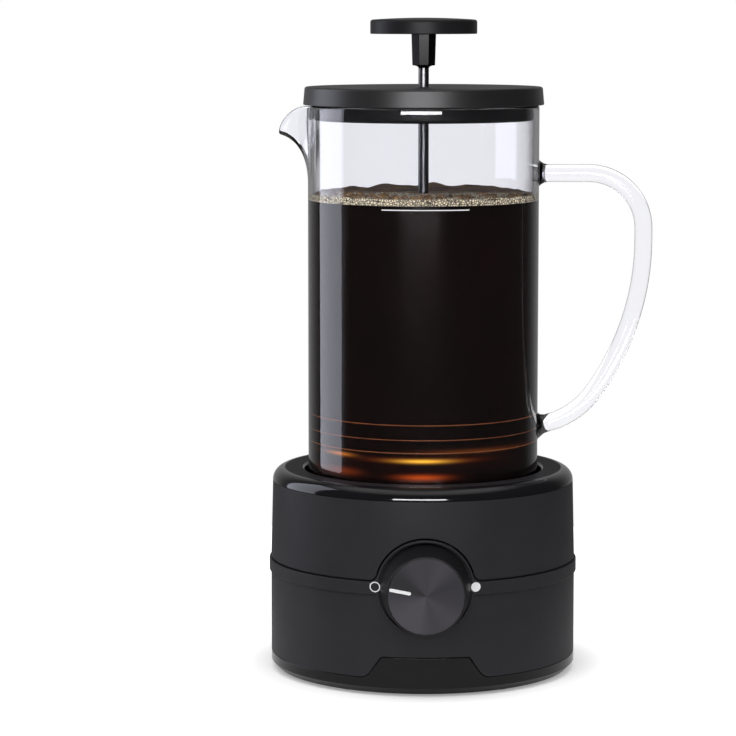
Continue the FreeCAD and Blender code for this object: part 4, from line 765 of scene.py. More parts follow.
def lowerHousing():
    values = {"overlap": 0.5, "wallRound": 0.25, "beltWall": 1.4, "lipRound": 0.3, "cut": 0.05,
              "beltCut": 0.03, "cutFrom": -78, "cutTo": -60}
    inner, lip, lipTop = base["wallInner"], base["lipRadius"], base["lipTop"]
    low, belt = base["beltBottom"] - base["beltStep"], base["beltBottom"] + base["beltStep"]
    within = baseRadius - values["wallRound"]

    def beltOuter(z):
        t = min(1.0, max(0.0, (z - low) / (belt - low)))
        return within + (beltRadius - within) * t

    pieces = [
        (values["cut"], wallBand(
            "lower_housing_wall", tabOutline(base["fitGap"]), False, base["trayTop"], low + values["overlap"],
            lambda z: baseRadius, lambda z: inner, values["wallRound"], (38, 26, 18.6))),
        (values["beltCut"], wallBand(
            "lower_housing_belt", panelOutline(0, whole=False), True, low, base["beltTop"], beltOuter,
            lambda z: inner + values["beltWall"], base["edgeRound"], (belt, belt + 0.2, 48.6))),
        (values["cut"], turnedRounded(
            "lower_housing_lip", [(inner, low), (lip, low), (lip, lipTop), (inner, lipTop)],
            {2: values["lipRound"], 3: values["lipRound"]})),
    ]
    for cut, piece in pieces:
        radius = base["panelRadius"] - cut
        hole = turned("dialCutter", [(0, values["cutFrom"]), (radius, values["cutFrom"]),
                                     (radius, values["cutTo"]), (0, values["cutTo"])],
                      axis="y", centre=(0, dialLevel), segments=180, closed=False)
        combine(piece, hole)
        dress(piece, [housingMatte], "base", ["lower_housing"])


# dial panel: a ring that follows the belt's curve round a flat recess

def dialPanel():
    values = {"segments": 216, "rings": 4, "rimRound": 0.3, "floorRound": 0.35, "holeRound": 0.2,
              "backShell": 67.6, "backStep": 0.6, "freeAbove": 53.9, "freeBelow": 45.2, "blend": 0.6}
    ring, recess, hole = base["panelRadius"], base["recessRadius"], base["bushHole"]
    floor, back = -base["recessFloor"], -base["panelBack"]
    rim, hollow, bevel = values["rimRound"], values["floorRound"], values["holeRound"]
    turns = [math.tau * j / values["segments"] for j in range(values["segments"])]
    turns = [(math.cos(t), math.sin(t)) for t in turns]
    arcs = [math.pi / 2 * k / values["rings"] for k in range(values["rings"] + 1)]
    arcs = [(math.cos(t), math.sin(t)) for t in arcs]
    rows = []

    def free(c, s):
        # 1 where the ring's outer edge stands free, 0 where the belt runs into it
        if abs(ring * c) < 1:
            return 1.0
        z = dialLevel + ring * s
        return min(1.0, max(0.0, (z - values["freeAbove"]) / values["blend"],
                            (values["freeBelow"] - z) / values["blend"]))

    def addRow(radius, y=None, lift=0.0, shell=beltRadius, freeOnly=False):
        # a row at a given y, or one that lies lift behind the shell
        row = []
        for c, s in turns:
            behind = lift * (free(c, s) if freeOnly else 1.0)
            depth = behind - math.sqrt(shell ** 2 - (radius * c) ** 2) if y is None else y
            row.append((radius * c, depth, dialLevel + radius * s))
        rows.append(row)

    for radius, y in ((hole, back), (hole, floor + bevel), (hole + bevel, floor), (recess - hollow, floor)):
        addRow(radius, y)
    for c, s in arcs[1:]:
        addRow(recess - hollow * (1 - s), floor - hollow * (1 - c))
    for c, s in arcs:
        addRow(recess + rim * (1 - c), lift=rim * (1 - s))
    addRow(ring - rim)
    for c, s in arcs[1:]:
        addRow(ring - rim * (1 - s), lift=rim * (1 - c), freeOnly=True)
    addRow(ring, shell=values["backShell"])
    addRow(ring - values["backStep"], back)
    panel = fromRows("dial_panel", rows, closedRows=True)
    dress(panel, [housingMatte], "base", ["lower_housing"], sharp=40)


# upper housing: a tapered sleeve whose notch clears the dial panel

def upperHousing():
    values = {"wall": 1.6, "levels": (84, 80, 76, 73)}
    bottom, top = upperLow[2], upperHigh[2]

    def outer(z):
        return baseRadius + (capHigh[0] - baseRadius) * (z - bottom) / (top - bottom)

    sleeve = wallBand("upper_housing", panelOutline(base["seamGap"]), False, bottom, top, outer,
                      lambda z: outer(z) - values["wall"], base["edgeRound"], values["levels"])
    dress(sleeve, [housingMatte], "base", ["upper_housing"])


# bottom tray: a bevelled rim with the tab that laps up the front, and a floor with vents

def bottomTray():
    values = {"ventCount": 12, "ventHalf": 1.2, "ventInner": 18.0, "ventOuter": 34.0, "floorThick": 3.0,
              "floorGap": 0.8, "footRadius": 5.5, "footHole": 5.3, "screwHole": 1.7, "screwCircle": 62.0,
              "bevel": 0.2, "rimRound": 0.3, "rimWall": 0.6, "rimInner": 67.6, "floorInner": 65.0}
    low = measures("bottom_tray")[0][2]
    bevelTop, footRadius = base["trayBevelTop"], base["trayFootRadius"]

    def outer(z):
        t = min(1.0, max(0.0, (z - low) / (bevelTop - low)))
        return footRadius + (baseRadius - footRadius) * t

    def inner(z):
        # above the floor the rim leaves room for the lower housing's wall
        wide = values["rimInner"] if z > bevelTop + 0.2 else values["floorInner"]
        return min(outer(z) - values["rimWall"], wide)

    rim = wallBand("bottom_tray_rim", tabOutline(0), True, low, base["trayTop"], outer, inner,
                   values["rimRound"], (2.2, 3.7, 4.0, 4.35, 7.0))
    dress(rim, [trayGloss], "base", ["bottom_tray"])

    curve = bpy.data.curves.new("bottom_tray_floor", "CURVE")
    curve.dimensions = "2D"
    curve.fill_mode = "BOTH"
    curve.extrude = (values["floorThick"] / 2 - values["bevel"]) * mm
    curve.bevel_depth = values["bevel"] * mm
    curve.offset = -values["bevel"] * mm
    curve.bevel_resolution = 1

    def loop(points):
        spline = curve.splines.new("POLY")
        spline.points.add(len(points) - 1)
        for point, (x, y) in zip(spline.points, points):
            point.co = (x * mm, y * mm, 0, 1)
        spline.use_cyclic_u = True

    def circle(x, y, radius, count):
        turns = [math.tau * i / count for i in range(count)]
        loop([(x + radius * math.cos(t), y + radius * math.sin(t)) for t in turns])

    footX, footY = [c - values["footRadius"] for c in measures("feet")[1][:2]]
    screw = values["screwCircle"] * math.sqrt(0.5)
    circle(0, 0, footRadius - values["floorGap"], 192)
    for sx in (-1, 1):
        for sy in (-1, 1):
            circle(footX * sx, footY * sy, values["footHole"], 40)
            circle(screw * sx, screw * sy, values["screwHole"], 24)
    half = values["ventHalf"]
    for i in range(values["ventCount"]):
        turn = math.tau * i / values["ventCount"]
        c, s = math.cos(turn), math.sin(turn)
        slot = []
        for middle, start in ((values["ventInner"], math.pi / 2), (values["ventOuter"], -math.pi / 2)):
            ends = [start + math.pi * k / 12 for k in range(13)]
            slot += [(middle + half * math.cos(t), half * math.sin(t)) for t in ends]
        loop([(x * c - y * s, x * s + y * c) for x, y in slot])
    holder = bpy.data.objects.new("floorCurve", curve)
    bpy.context.scene.collection.objects.link(holder)
    mesh = evaluatedMesh(holder)
    bpy.data.objects.remove(holder)
    for vertex in mesh.vertices:
        vertex.co.z += (low + values["floorThick"] / 2) * mm
    floor = bpy.data.objects.new("bottom_tray_floor", mesh)
    bpy.context.scene.collection.objects.link(floor)
    dress(floor, [trayGloss], "base", ["bottom_tray"])


# feet: four rubber discs with a soft edge

def rubberFeet():
    values = {"radius": 5.5, "lowRound": 0.5, "topRound": 0.2, "segments": 48}
    low, high = measures("feet")
    radius = values["radius"]
    x, y = high[0] - radius, high[1] - radius
    verts, faces = [], []
    for sx in (-1, 1):
        for sy in (-1, 1):
            foot = turnedRounded("foot", [(0, low[2]), (radius, low[2]), (radius, high[2]), (0, high[2])],
                                 {1: values["lowRound"], 2: values["topRound"]}, closed=False,
                                 centre=(x * sx, y * sy), segments=values["segments"])
            start = len(verts)
            verts += [tuple(c / mm for c in v.co) for v in foot.data.vertices]
            faces += [[start + i for i in p.vertices] for p in foot.data.polygons]
            bpy.data.objects.remove(foot)
    dress(rawObject("rubber_feet", verts, faces), [rubberBlack], "base", ["feet"])


# top cap: the flat deck, its rolled shoulder and the well's edge

def topCap():
    values = {"roll": 5.45, "wellRound": 1.6, "skirt": 65.5, "seamRound": 0.25, "seamRise": 0.02,
              "wellRadius": 53.7, "wellDrop": 5.2, "wellWall": 2.2, "wall": 1.6, "thick": 2.6}
    radius, top, bottom = capHigh[0], capHigh[2], capLow[2]
    seam, well, skirt = upperHigh[2] + values["seamRise"], values["wellRadius"], values["skirt"]
    wellBack, wellLow, under = well + values["wellWall"], top - values["wellDrop"], top - values["thick"]
    skirtIn = skirt - values["wall"]

    def part(a, b):
        # 1 for the matt deck, 0 for the gloss round it
        onTop, within = (a[1] + b[1]) / 2 > top - 0.1, (a[0] + b[0]) / 2 < radius - values["roll"]
        return 1 if onTop and within else 0

    cap = turnedRounded("top_cap", [
        (radius, seam), (radius, top), (well, top), (well, wellLow), (wellBack, wellLow), (wellBack, under),
        (skirtIn, under), (skirtIn, bottom), (skirt, bottom), (skirt, seam)],
        {0: values["seamRound"], 1: values["roll"], 2: values["wellRound"], 3: 0.2},
        steps=9, segments=256, marks=part)
    dress(cap, [glossBlack, deckSatin], "base", ["top_cap"])


# knob: a tapered cap of satin black with a brushed disc let into its face

def knobPieces():
    values = {"baseRadius": 19.8, "faceRadius": 17.4, "edge": 0.6, "capRadius": 16.6, "capThick": 0.8,
              "capGap": 0.06, "wall": 3.0, "frontWall": 3.4, "hub": 5.2, "bore": 3.12, "hubLength": 10.0,
              "pointerTurn": -11.0, "pointerLength": 9.5, "pointerHalf": 0.78, "pointerEnd": 16.2,
              "pointerDepth": 0.3}
    back, face = knobHigh[1], knobLow[1]
    seat, inside, seatRadius = face + values["capThick"], face + values["frontWall"], values["capRadius"]
    hub, bore, wall, deep = values["hub"], values["bore"], values["wall"], inside + values["hubLength"]
    place = {"axis": "y", "centre": (0, dialLevel), "segments": 160, "closed": False}
    body = turnedRounded("knob_body", [
        (0, inside), (bore, inside), (bore, deep), (hub, deep), (hub, inside),
        (values["faceRadius"] - wall, inside), (values["baseRadius"] - wall, back),
        (values["baseRadius"], back), (values["faceRadius"], face), (seatRadius + values["capGap"], face),
        (seatRadius + values["capGap"], seat), (0, seat)],
        {6: 0.3, 7: 0.4, 8: values["edge"], 9: 0.12}, **place)
    dress(body, [knobBlack], "dial", ["knob"])
    low, high = seat + 0.01, face + 0.02
    disc = turnedRounded("knob_disc", [(0, low), (seatRadius, low), (seatRadius, high), (0, high)], {2: 0.15},
                         **place)

    turn, half = math.radians(values["pointerTurn"]), values["pointerHalf"]
    reach = values["pointerLength"] / 2
    rows = []
    for y in (seat - values["pointerDepth"], face - 1):
        rows.append([])
        for side in (-1, 1):
            for k in range(9):
                t = math.pi / 2 * (2 + side) + math.pi * k / 8
                x = reach - values["pointerEnd"] + (reach - half) * side + half * math.cos(t)
                z = half * math.sin(t)
                rows[-1].append((x * math.cos(turn) - z * math.sin(turn), y,
                                 dialLevel + x * math.sin(turn) + z * math.cos(turn)))
    combine(disc, fromRows("pointerCutter", rows, capped=True))
    dress(disc, [knobMetal], "dial", ["knob_cap"])


# cord inlet: a rubber bush in the rear wall

def cordInlet():
    values = {"bore": 3.6, "neck": 5.6, "flangeThick": 1.2}
    low, high = measures("cord_inlet")
    bore, neck, flange, front = values["bore"], values["neck"], high[0], high[1] - values["flangeThick"]
    bush = turnedRounded("cord_inlet_bush", [
        (bore, low[1]), (neck, low[1]), (neck, front), (flange, front), (flange, high[1]), (bore, high[1])],
        {0: 0.3, 1: 0.3, 3: 0.2, 4: 0.6, 5: 0.7}, axis="y", centre=(0, (low[2] + high[2]) / 2), segments=96)
    dress(bush, [rubberBlack], "base", ["cord_inlet"])


lowerHousing()
dialPanel()
print("lower housing made")
upperHousing()
bottomTray()
rubberFeet()
topCap()
knobPieces()
cordInlet()
print("base and knob made")


# carafe: blown glass with a pulled lip

glass = {
    "radius": 52.1,
    "wall": 2.2,
    "floor": 4.0,
    "footRound": 5.0,
    "innerRound": 3.0,
    "spoutAngle": 26.0,
    "spoutFade": 6.0,
    "spoutHalfAngle": 7.1,
    "spoutPower": 2.45,
    "spoutStart": 221.0,
    "spoutReach": 13.0,
    "spoutDrop": 11.0,
    "spoutLean": 74.0,
    "spoutRows": 26,
    "outerLevels": (86.0, 120.0, 160.0, 200.0, 214.0),
    "innerLevels": (214.0, 200.0, 160.0, 120.0, 90.0),
}


def carafe():
    radius, half, rim, bottom = glass["radius"], glass["wall"] / 2, glassHigh[2], glassLow[2]
    floor, inner = bottom + glass["floor"], radius - glass["wall"]
    fine, steps = glass["spoutAngle"], glass["spoutRows"]
    angles = [-fine + 2 * fine * i / 104 for i in range(104)]
    angles += [fine + (360 - 2 * fine) * i / 150 for i in range(150)]
    count = len(angles)

    def place(angle, r, z):
        t = math.radians(angle)
        return Vector((-r * math.cos(t), -r * math.sin(t), z))

    def ringAt(r, z):
        return [place(a, r, z) for a in angles]

    def spoutShare(angle):
        # how far the lip is pulled out here, from 0 to 1
        a = abs(angle) if angle <= 180 else 360 - angle
        if a > fine:
            return 0.0
        fade = min(1.0, (fine - a) / glass["spoutFade"])
        return math.exp(-0.693 * (a / glass["spoutHalfAngle"]) ** glass["spoutPower"]) * fade

    def sheetPoint(angle, t):
        # the middle of the wall, on a curve from the straight wall up to the rim
        share = spoutShare(angle)
        start = (radius - half, glass["spoutStart"])
        drop = glass["spoutDrop"] * (1 - (1 - min(1.0, share) ** 2.2) ** 0.6)
        end = (start[0] + glass["spoutReach"] * share, rim - half - drop)
        lean = math.radians(glass["spoutLean"]) * share ** 0.8
        along = 9.0 + (end[1] - start[1] - 21.0) * 0.35 * (1 - share)
        curve = (start, (start[0], start[1] + 11.5),
                 (end[0] - along * math.sin(lean), end[1] - along * math.cos(lean)), end)
        shares = ((1 - t) ** 3, 3 * t * (1 - t) ** 2, 3 * t * t * (1 - t), t ** 3)
        return place(angle, *[sum(b * point[c] for b, point in zip(shares, curve)) for c in (0, 1)])

    sheet = [[sheetPoint(a, i / steps) for a in angles] for i in range(steps + 1)]
    outerRows, innerRows, rimWays = [], [], []
    for i in range(steps + 1):
        outerRows.append([])
        innerRows.append([])
        for j, point in enumerate(sheet[i]):
            up = sheet[min(steps, i + 1)][j] - sheet[max(0, i - 1)][j]
            normal = (sheet[i][(j + 1) % count] - sheet[i][j - 1]).cross(up).normalized()
            if normal.dot(Vector((point.x, point.y, 0))) < 0:
                normal = -normal
            outerRows[-1].append(point + normal * half)
            innerRows[-1].append(point - normal * half)
            if i == steps:
                rimWays.append((normal * half, up.normalized() * half))

    foot = roundedPath([(0, bottom), (radius, bottom), (radius, 120)], {1: glass["footRound"]}, closed=False,
                       steps=8)
    cup = roundedPath([(inner, 100), (inner, floor), (0, floor)], {1: glass["innerRound"]}, closed=False,
                      steps=6)
    rows = [ringAt(r, z) for r, z in foot[1:-1]] + [ringAt(radius, z) for z in glass["outerLevels"]]
    rows += outerRows
    for k in range(1, 8):
        c, s = math.cos(math.pi * k / 8), math.sin(math.pi * k / 8)
        rows.append([point + out * c + up * s for point, (out, up) in zip(sheet[steps], rimWays)])
    rows += innerRows[::-1]
    rows += [ringAt(inner, z) for z in glass["innerLevels"]] + [ringAt(r, z) for r, z in cup[1:-1]]
    verts = [tuple(v) for row in rows for v in row] + [(0, 0, bottom), (0, 0, floor)]
    faces = gridFaces(len(rows), count)
    last = (len(rows) - 1) * count
    for j in range(count):
        n = (j + 1) % count
        faces += [(last + count, n, j), (last + count + 1, last + j, last + n)]
    body = rawObject("carafe_body", verts, faces)
    combine(body, handleRod(), "UNION")
    dress(body, [clearGlass], "carafe", ["carafe_glass", "carafe_handle"], sharp=50)


# handle: a bent glass rod whose ends flare into the wall

handle = {
    "top": 225.5,
    "rodRadius": 4.0,
    "footRadius": 6.4,
    "flare": 5.0,
    "bend": 25.0,
    "straight": 5.5,
    "slowBend": 118.0,
    "slowTurn": 36.0,
    "lowBend": 36.0,
    "sunk": 0.35,
    "sides": 40,
}


def handleRod():
    radius, rod, bend, top = glass["radius"], handle["rodRadius"], handle["bend"], handle["top"]
    slow, lowBend, slowTurn = handle["slowBend"], handle["lowBend"], math.radians(handle["slowTurn"])
    start, reach = radius - handle["sunk"], measures("carafe_handle")[1][0] - rod
    line = []  # places along the rod's middle, and its run at each

    def addArc(centre, size, first, last, steps):
        # turns count from +X downwards
        for i in range(1, steps + 1):
            c, s = [f(first + (last - first) * i / steps) for f in (math.cos, math.sin)]
            line.append(((centre[0] + size * c, centre[1] - size * s), (-s, -c)))

    for i in range(23):
        line.append(((start + (reach - bend - start) * (i / 22) ** 1.6, top), (1, 0)))
    addArc((reach - bend, top - bend), bend, -math.pi / 2, 0, 18)
    low = top - bend - handle["straight"]
    line.append(((reach, low), (0, -1)))
    addArc((reach - slow, low), slow, 0, slowTurn, 24)
    x, z = line[-1][0]
    x, z = x - lowBend * math.cos(slowTurn), z + lowBend * math.sin(slowTurn)
    addArc((x, z), lowBend, slowTurn, math.pi / 2, 16)
    for i in range(1, 21):
        line.append(((x + (start - x) * (1 - (1 - i / 20) ** 1.6), z - lowBend), (-1, 0)))
    rows = []
    for (x, z), (tx, tz) in line:
        near = max(0.0, 1 - (x - start) / handle["flare"])
        size = rod + (handle["footRadius"] - rod) * near ** 2.4
        rows.append([])
        for j in range(handle["sides"]):
            t = math.tau * j / handle["sides"]
            across, up = size * math.cos(t), size * math.sin(t)
            bow = radius - math.sqrt(radius * radius - across * across)
            rows[-1].append((x - tz * up - bow * near, across, z + tx * up))
    return fromRows("handleRod", rows, capped=True)


carafe()
print("carafe made")


# coffee and foam in the carafe, seen only in the scene

drink = {"radius": 49.95, "bottom": 80.95, "level": 213.0, "foamTop": 216.6, "corner": 3.0}


def coffeeFill():
    radius, bottom, level = drink["radius"], drink["bottom"], drink["level"]
    fill = turnedRounded("coffee_fill", [
        (0, bottom), (radius, bottom), (radius, level + 0.6), (radius - 2.0, level), (0, level)],
        {1: drink["corner"], 3: 3.0}, steps=8, closed=False)
    dress(fill, [coffeeDark], "carafe")


def foamLayer():
    values = {"rise": 0.5, "backRise": 2.2, "rows": 48, "segments": 260}
    rows, count, rise, top = values["rows"], values["segments"], values["rise"], drink["foamTop"]
    verts = [(0, 0, top)]
    for i in range(1, rows + 1):
        r = drink["radius"] * (i / rows) ** 0.8
        for j in range(count):
            x, y = r * math.cos(math.tau * j / count), r * math.sin(math.tau * j / count)
            lift = noise.noise(Vector((x / 9, y / 6, 0.3))) * rise
            lift += noise.noise(Vector((x / 2.4, y / 2.4, 4.0))) * rise * 0.5
            swell = 0.5 + noise.noise(Vector((x / 11, y / 14, 9.0)))
            lift += max(0.0, y / 50) ** 2 * values["backRise"] * swell
            verts.append((x, y, top + lift))
    faces = [(0, 1 + j, 1 + (j + 1) % count) for j in range(count)]
    faces += [tuple(1 + k for k in face) for face in gridFaces(rows, count)]
    skirt = len(verts)
    edge = skirt - count
    verts += [(x, y, drink["level"] + 0.7) for x, y, z in verts[edge:]]
    for j in range(count):
        n = (j + 1) % count
        faces.append((edge + j, skirt + j, skirt + n, edge + n))
    faces.append(tuple(range(skirt + count - 1, skirt - 1, -1)))
    dress(rawObject("foam_layer", verts, faces), [foamCream], "carafe", sharp=70)


def foamBubbles():
    values = {"count": 170, "seed": 11, "sizes": (0.5, 0.6, 0.8, 1.0, 1.4, 1.7), "sides": 12, "rings": 5,
              "flat": 0.8}
    sides, rings, top = values["sides"], values["rings"], drink["foamTop"] + 0.1
    random.seed(values["seed"])
    verts, faces = [], []
    for i in range(values["count"]):
        turn = math.radians(random.uniform(195, 345))
        size = random.choice(values["sizes"])
        edge = drink["radius"] - size
        r = random.uniform(30, edge - 0.3) if i % 3 else edge - 0.2
        x, y, start = r * math.cos(turn), r * math.sin(turn), len(verts)
        for k in range(rings):
            rise = math.pi / 2 * k / rings
            wide, high = size * math.cos(rise), size * math.sin(rise) * values["flat"]
            for j in range(sides):
                t = math.tau * j / sides
                verts.append((x + wide * math.cos(t), y + wide * math.sin(t), top + high))
        verts.append((x, y, top + size * values["flat"]))
        faces += [tuple(start + k for k in face) for face in gridFaces(rings, sides)]
        last, tip = start + (rings - 1) * sides, start + rings * sides
        faces += [(last + j, last + (j + 1) % sides, tip) for j in range(sides)]
        faces.append(tuple(start + j for j in range(sides - 1, -1, -1)))
    dress(rawObject("foam_bubbles", verts, faces), [foamBubble], "carafe", sharp=80)


coffeeFill()
foamLayer()
foamBubbles()
print("coffee and foam made")


# lid: the cover with its soft edges and the plug below it

def lidPieces():
    values = {"coverRound": 1.0, "lowRound": 0.35, "wall": 2.5, "bore": 4.25, "boss": 7.0, "taper": 0.7,
              "plugRadius": 49.6, "plugRound": 1.6, "plugWall": 2.3, "plugRise": 1.6}
    coverLow, coverHigh = measures("lid_cover")
    plugLow, plugHigh = measures("lid_plug")
    radius, low, top, flange = coverHigh[0], coverLow[2], coverHigh[2], plugHigh[2]
    bore, boss, wall = values["bore"], values["boss"], values["wall"]

    def part(a, b):
        # 1 for the matt top, 0 for the wall and the underside
        return 1 if (a[1] + b[1]) / 2 > top - 0.1 else 0

    cover = turnedRounded("lid_cover_shell", [
        (bore, flange + 0.02), (boss, flange + 0.02), (boss, top - wall), (radius - wall, top - wall),
        (radius - wall, low), (radius, low), (radius - values["taper"], top), (bore, top)],
        {4: 0.3, 5: values["lowRound"], 6: values["coverRound"], 7: 0.2}, steps=7, segments=256, marks=part)
    dress(cover, [lidSatin, lidTopMatte], "lid", ["lid_cover"])

    plug, seat, bottom = values["plugRadius"], glassHigh[2] + 0.05, plugLow[2]
    thin, raised = plug - values["plugWall"], bottom + values["plugRise"]
    body = turnedRounded("lid_plug_body", [
        (bore, raised), (boss, raised), (boss, seat), (thin, seat), (thin, bottom), (plug, bottom),
        (plug, seat), (plugHigh[0], seat), (plugHigh[0], flange), (bore, flange)],
        {1: 0.3, 4: 0.8, 5: values["plugRound"], 7: 0.2, 8: 0.2}, steps=6, segments=224)
    dress(body, [plugSatin], "lid", ["lid_plug"])


# plunger head: a crowned disc on an eight-sided collar with a hollow neck

def plungerHead():
    values = {"discRound": 1.3, "crown": 0.9, "crownSteps": 14, "underRound": 0.4, "sides": 8,
              "cornerRound": 0.35, "neckRadius": 2.42, "neckRise": 1.8, "neckSteps": 8,
              "lowShare": 10.2 / 11.0}
    discLow, discHigh = measures("plunger_disc")
    collarLow, collarHigh = measures("plunger_collar")
    radius, low, top, bend = discHigh[0], discLow[2], discHigh[2], values["discRound"]
    sphere = (radius ** 2 + values["crown"] ** 2) / (2 * values["crown"])
    crown = []
    for i in range(values["crownSteps"] + 1):
        r = (radius - bend) * (1 - i / values["crownSteps"])
        crown.append((r, top - sphere + math.sqrt(sphere ** 2 - r * r)))
    side = roundedPath([(0, low), (radius, low), (radius, top - values["crown"] + 0.05),
                        (crown[0][0] - 0.4, crown[0][1] + 0.01)],
                       {1: values["underRound"], 2: bend * 0.96}, closed=False, steps=7)
    disc = turned("plunger_disc_top", side[:-1] + crown[1:], closed=False)
    dress(disc, [discSatin], "plunger", ["plunger_disc"])

    neck, head = collarLow[2], collarHigh[2]
    headWidth = (collarHigh[1] - collarLow[1]) / 2
    lowWidth, rise, sides = headWidth * values["lowShare"], values["neckRise"] - 0.3, values["sides"]

    def octagon(width):
        reach = width / math.cos(math.pi / sides)
        turns = [math.tau * (k + 0.5) / sides for k in range(sides)]
        return roundedPath([(reach * math.cos(t), reach * math.sin(t)) for t in turns],
                           {k: values["cornerRound"] for k in range(sides)}, steps=3)

    rows = []
    for k in range(values["neckSteps"] + 1):
        # the neck is round at the rod and takes the octagon's corners on its way up
        t = k / values["neckSteps"]
        flat = lowWidth - 0.35
        r = values["neckRadius"] + (flat - values["neckRadius"]) * (1 - math.cos(math.pi / 2 * t))
        z = neck + rise * math.sin(math.pi / 2 * t)
        rows.append([])
        for x, y in octagon(lowWidth):
            turn, shape = math.atan2(y, x), (math.hypot(x, y) - 0.35) / flat
            size = r * (1 + (shape - 1) * t ** 3)
            rows[-1].append((size * math.cos(turn), size * math.sin(turn), z))
    for width, z in ((lowWidth - 0.2, neck + rise + 0.06), (lowWidth - 0.06, neck + rise + 0.2),
                     (lowWidth, neck + rise + 0.4), (headWidth, head - 0.35), (headWidth - 0.05, head - 0.1),
                     (headWidth - 0.3, head)):
        rows.append([(x, y, z) for x, y in octagon(width)])
    collar = fromRows("plunger_collar_body", rows, capped=True)
    dress(collar, [collarBlack], "plunger", ["plunger_collar"], sharp=28)


# filter: a cup with two bead edges and a lipped seal that just meet the glass; their amber colour, seen
# through the coffee, is painted glow for the lit thin coffee at the glass

def filterRings():
    values = {"reach": 49.98, "cupWall": 48.7, "cupInner": 46.9, "sealInner": 46.6, "segments": 192}
    reach, wall, inner, sealInner = [values[k] for k in ("reach", "cupWall", "cupInner", "sealInner")]
    low, top = measures("filter_cup")[0][2], measures("filter_cup")[1][2]
    skirt = turnedRounded("filter_cup_skirt", [
        (inner, low), (reach, low + 0.1), (reach, low + 0.5), (wall, low + 1.6), (wall, top - 1.2),
        (reach, top - 0.1), (reach, top + 0.2), (inner, top + 0.2), (inner, top - 1.8),
        (inner - 0.2, top - 1.8)], {3: 0.6, 4: 0.6}, steps=3, segments=values["segments"])
    dress(skirt, [sealAmberGlow], "plunger")
    low, top = measures("filter_seal")[0][2], measures("filter_seal")[1][2]
    seal = turnedRounded("filter_seal_lip", [
        (sealInner, low), (48.8, low), (49.5, top - 1.4), (reach, top - 0.3), (reach, top), (48.1, top),
        (47.7, low + 1.9), (sealInner, low + 1.8)],
        {1: 0.3, 2: 1.5, 5: 0.4, 6: 0.8}, steps=3, segments=values["segments"])
    dress(seal, [sealAmberGlow], "plunger", ["filter_seal"])


lidPieces()
plungerHead()
filterRings()
print("lid and plunger made")


# solids that keep their own shape take a finish for their material

keptSolids = [
    (innerPlastic, ["well_cup", "drive_hub", "inlet_nut", "stirrer"]),
    (rubberBlack, ["well_pad"]),
    (printWhite, ["off_mark", "on_mark", "knob_pointer", "fill_line"]),
    (switchBlack, ["speed_switch"]),
    (zincSteel, ["switch_washer", "switch_nut", "switch_shaft", "motor_bracket", "filter_nut"]),
    (siliconeGrey, ["bracket_grommets", "rod_bush"]),
    (motorSteel, ["motor_can"]),
    (bearingBronze, ["motor_bearing"]),
    (rodSteel, ["motor_shaft", "plunger_rod"]),
    (magnetNickel, ["drive_magnets", "stirrer_magnets"]),
    (screwSteel, ["tray_screws", "bracket_screws", "motor_screws", "board_screws"]),
    (boardGreen, ["control_board"]),
    (componentBlack, ["board_components"]),
    (filterPlastic, ["filter_cup", "filter_hub"]),
    (wireCloth, ["mesh_screen"]),
    (filterSteel, ["filter_frame"]),
]

for finish, names in keptSolids:
    for name in names:
        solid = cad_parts[name]
        solid.data.materials.clear()
        solid.data.materials.append(finish)
        shade(solid.data, 30)
print("kept solids dressed:", sum(len(names) for finish, names in keptSolids))


# studio: a pale floor, a white surround, a tall box at the left, a low one in front and one above

studio = {
    "floorRadius": 380.0,
    "floorLevel": -0.05,
    "floorShade": 0.9,
    # glowNear is the weaker glow round the base: painted shade
    "glowNear": 0.3,
    "glowFar": 0.6,
    "glowEdge": (0.069, 0.1),
    "glowMirrored": 0.12,
    "fadeEdge": (0.13, 0.375),
    "surroundDiffuse": 0.6,
    "frontReflection": 0.04,
    "backReflection": 0.34,
    "backEdge": (0.5, 0.98),
    "overheadReflection": 1.1,
    "overheadEdge": (0.68, 0.95),
}

lamps = {
    "leftBox": {"place": (-0.62, 0.16, 0.36), "size": (0.42, 0.74), "power": 2.6, "target": (0, 0, 0.3),
                "colour": (0.86, 0.88, 1.0), "diffuse": False, "glossy": True},
    "frontBox": {"place": (-0.06, -1.05, 0.288), "size": (0.75, 0.13), "power": 9.0, "target": (0, 0, 0.2),
                 "colour": (0.98, 0.97, 1.0), "diffuse": False, "glossy": True},
    "topBox": {"place": (-0.12, -0.7, 1.0), "size": (0.9, 0.6), "power": 6.5, "target": (0, 0, 0.1),
               "colour": (1.0, 0.99, 1.0), "diffuse": True, "glossy": False},
}


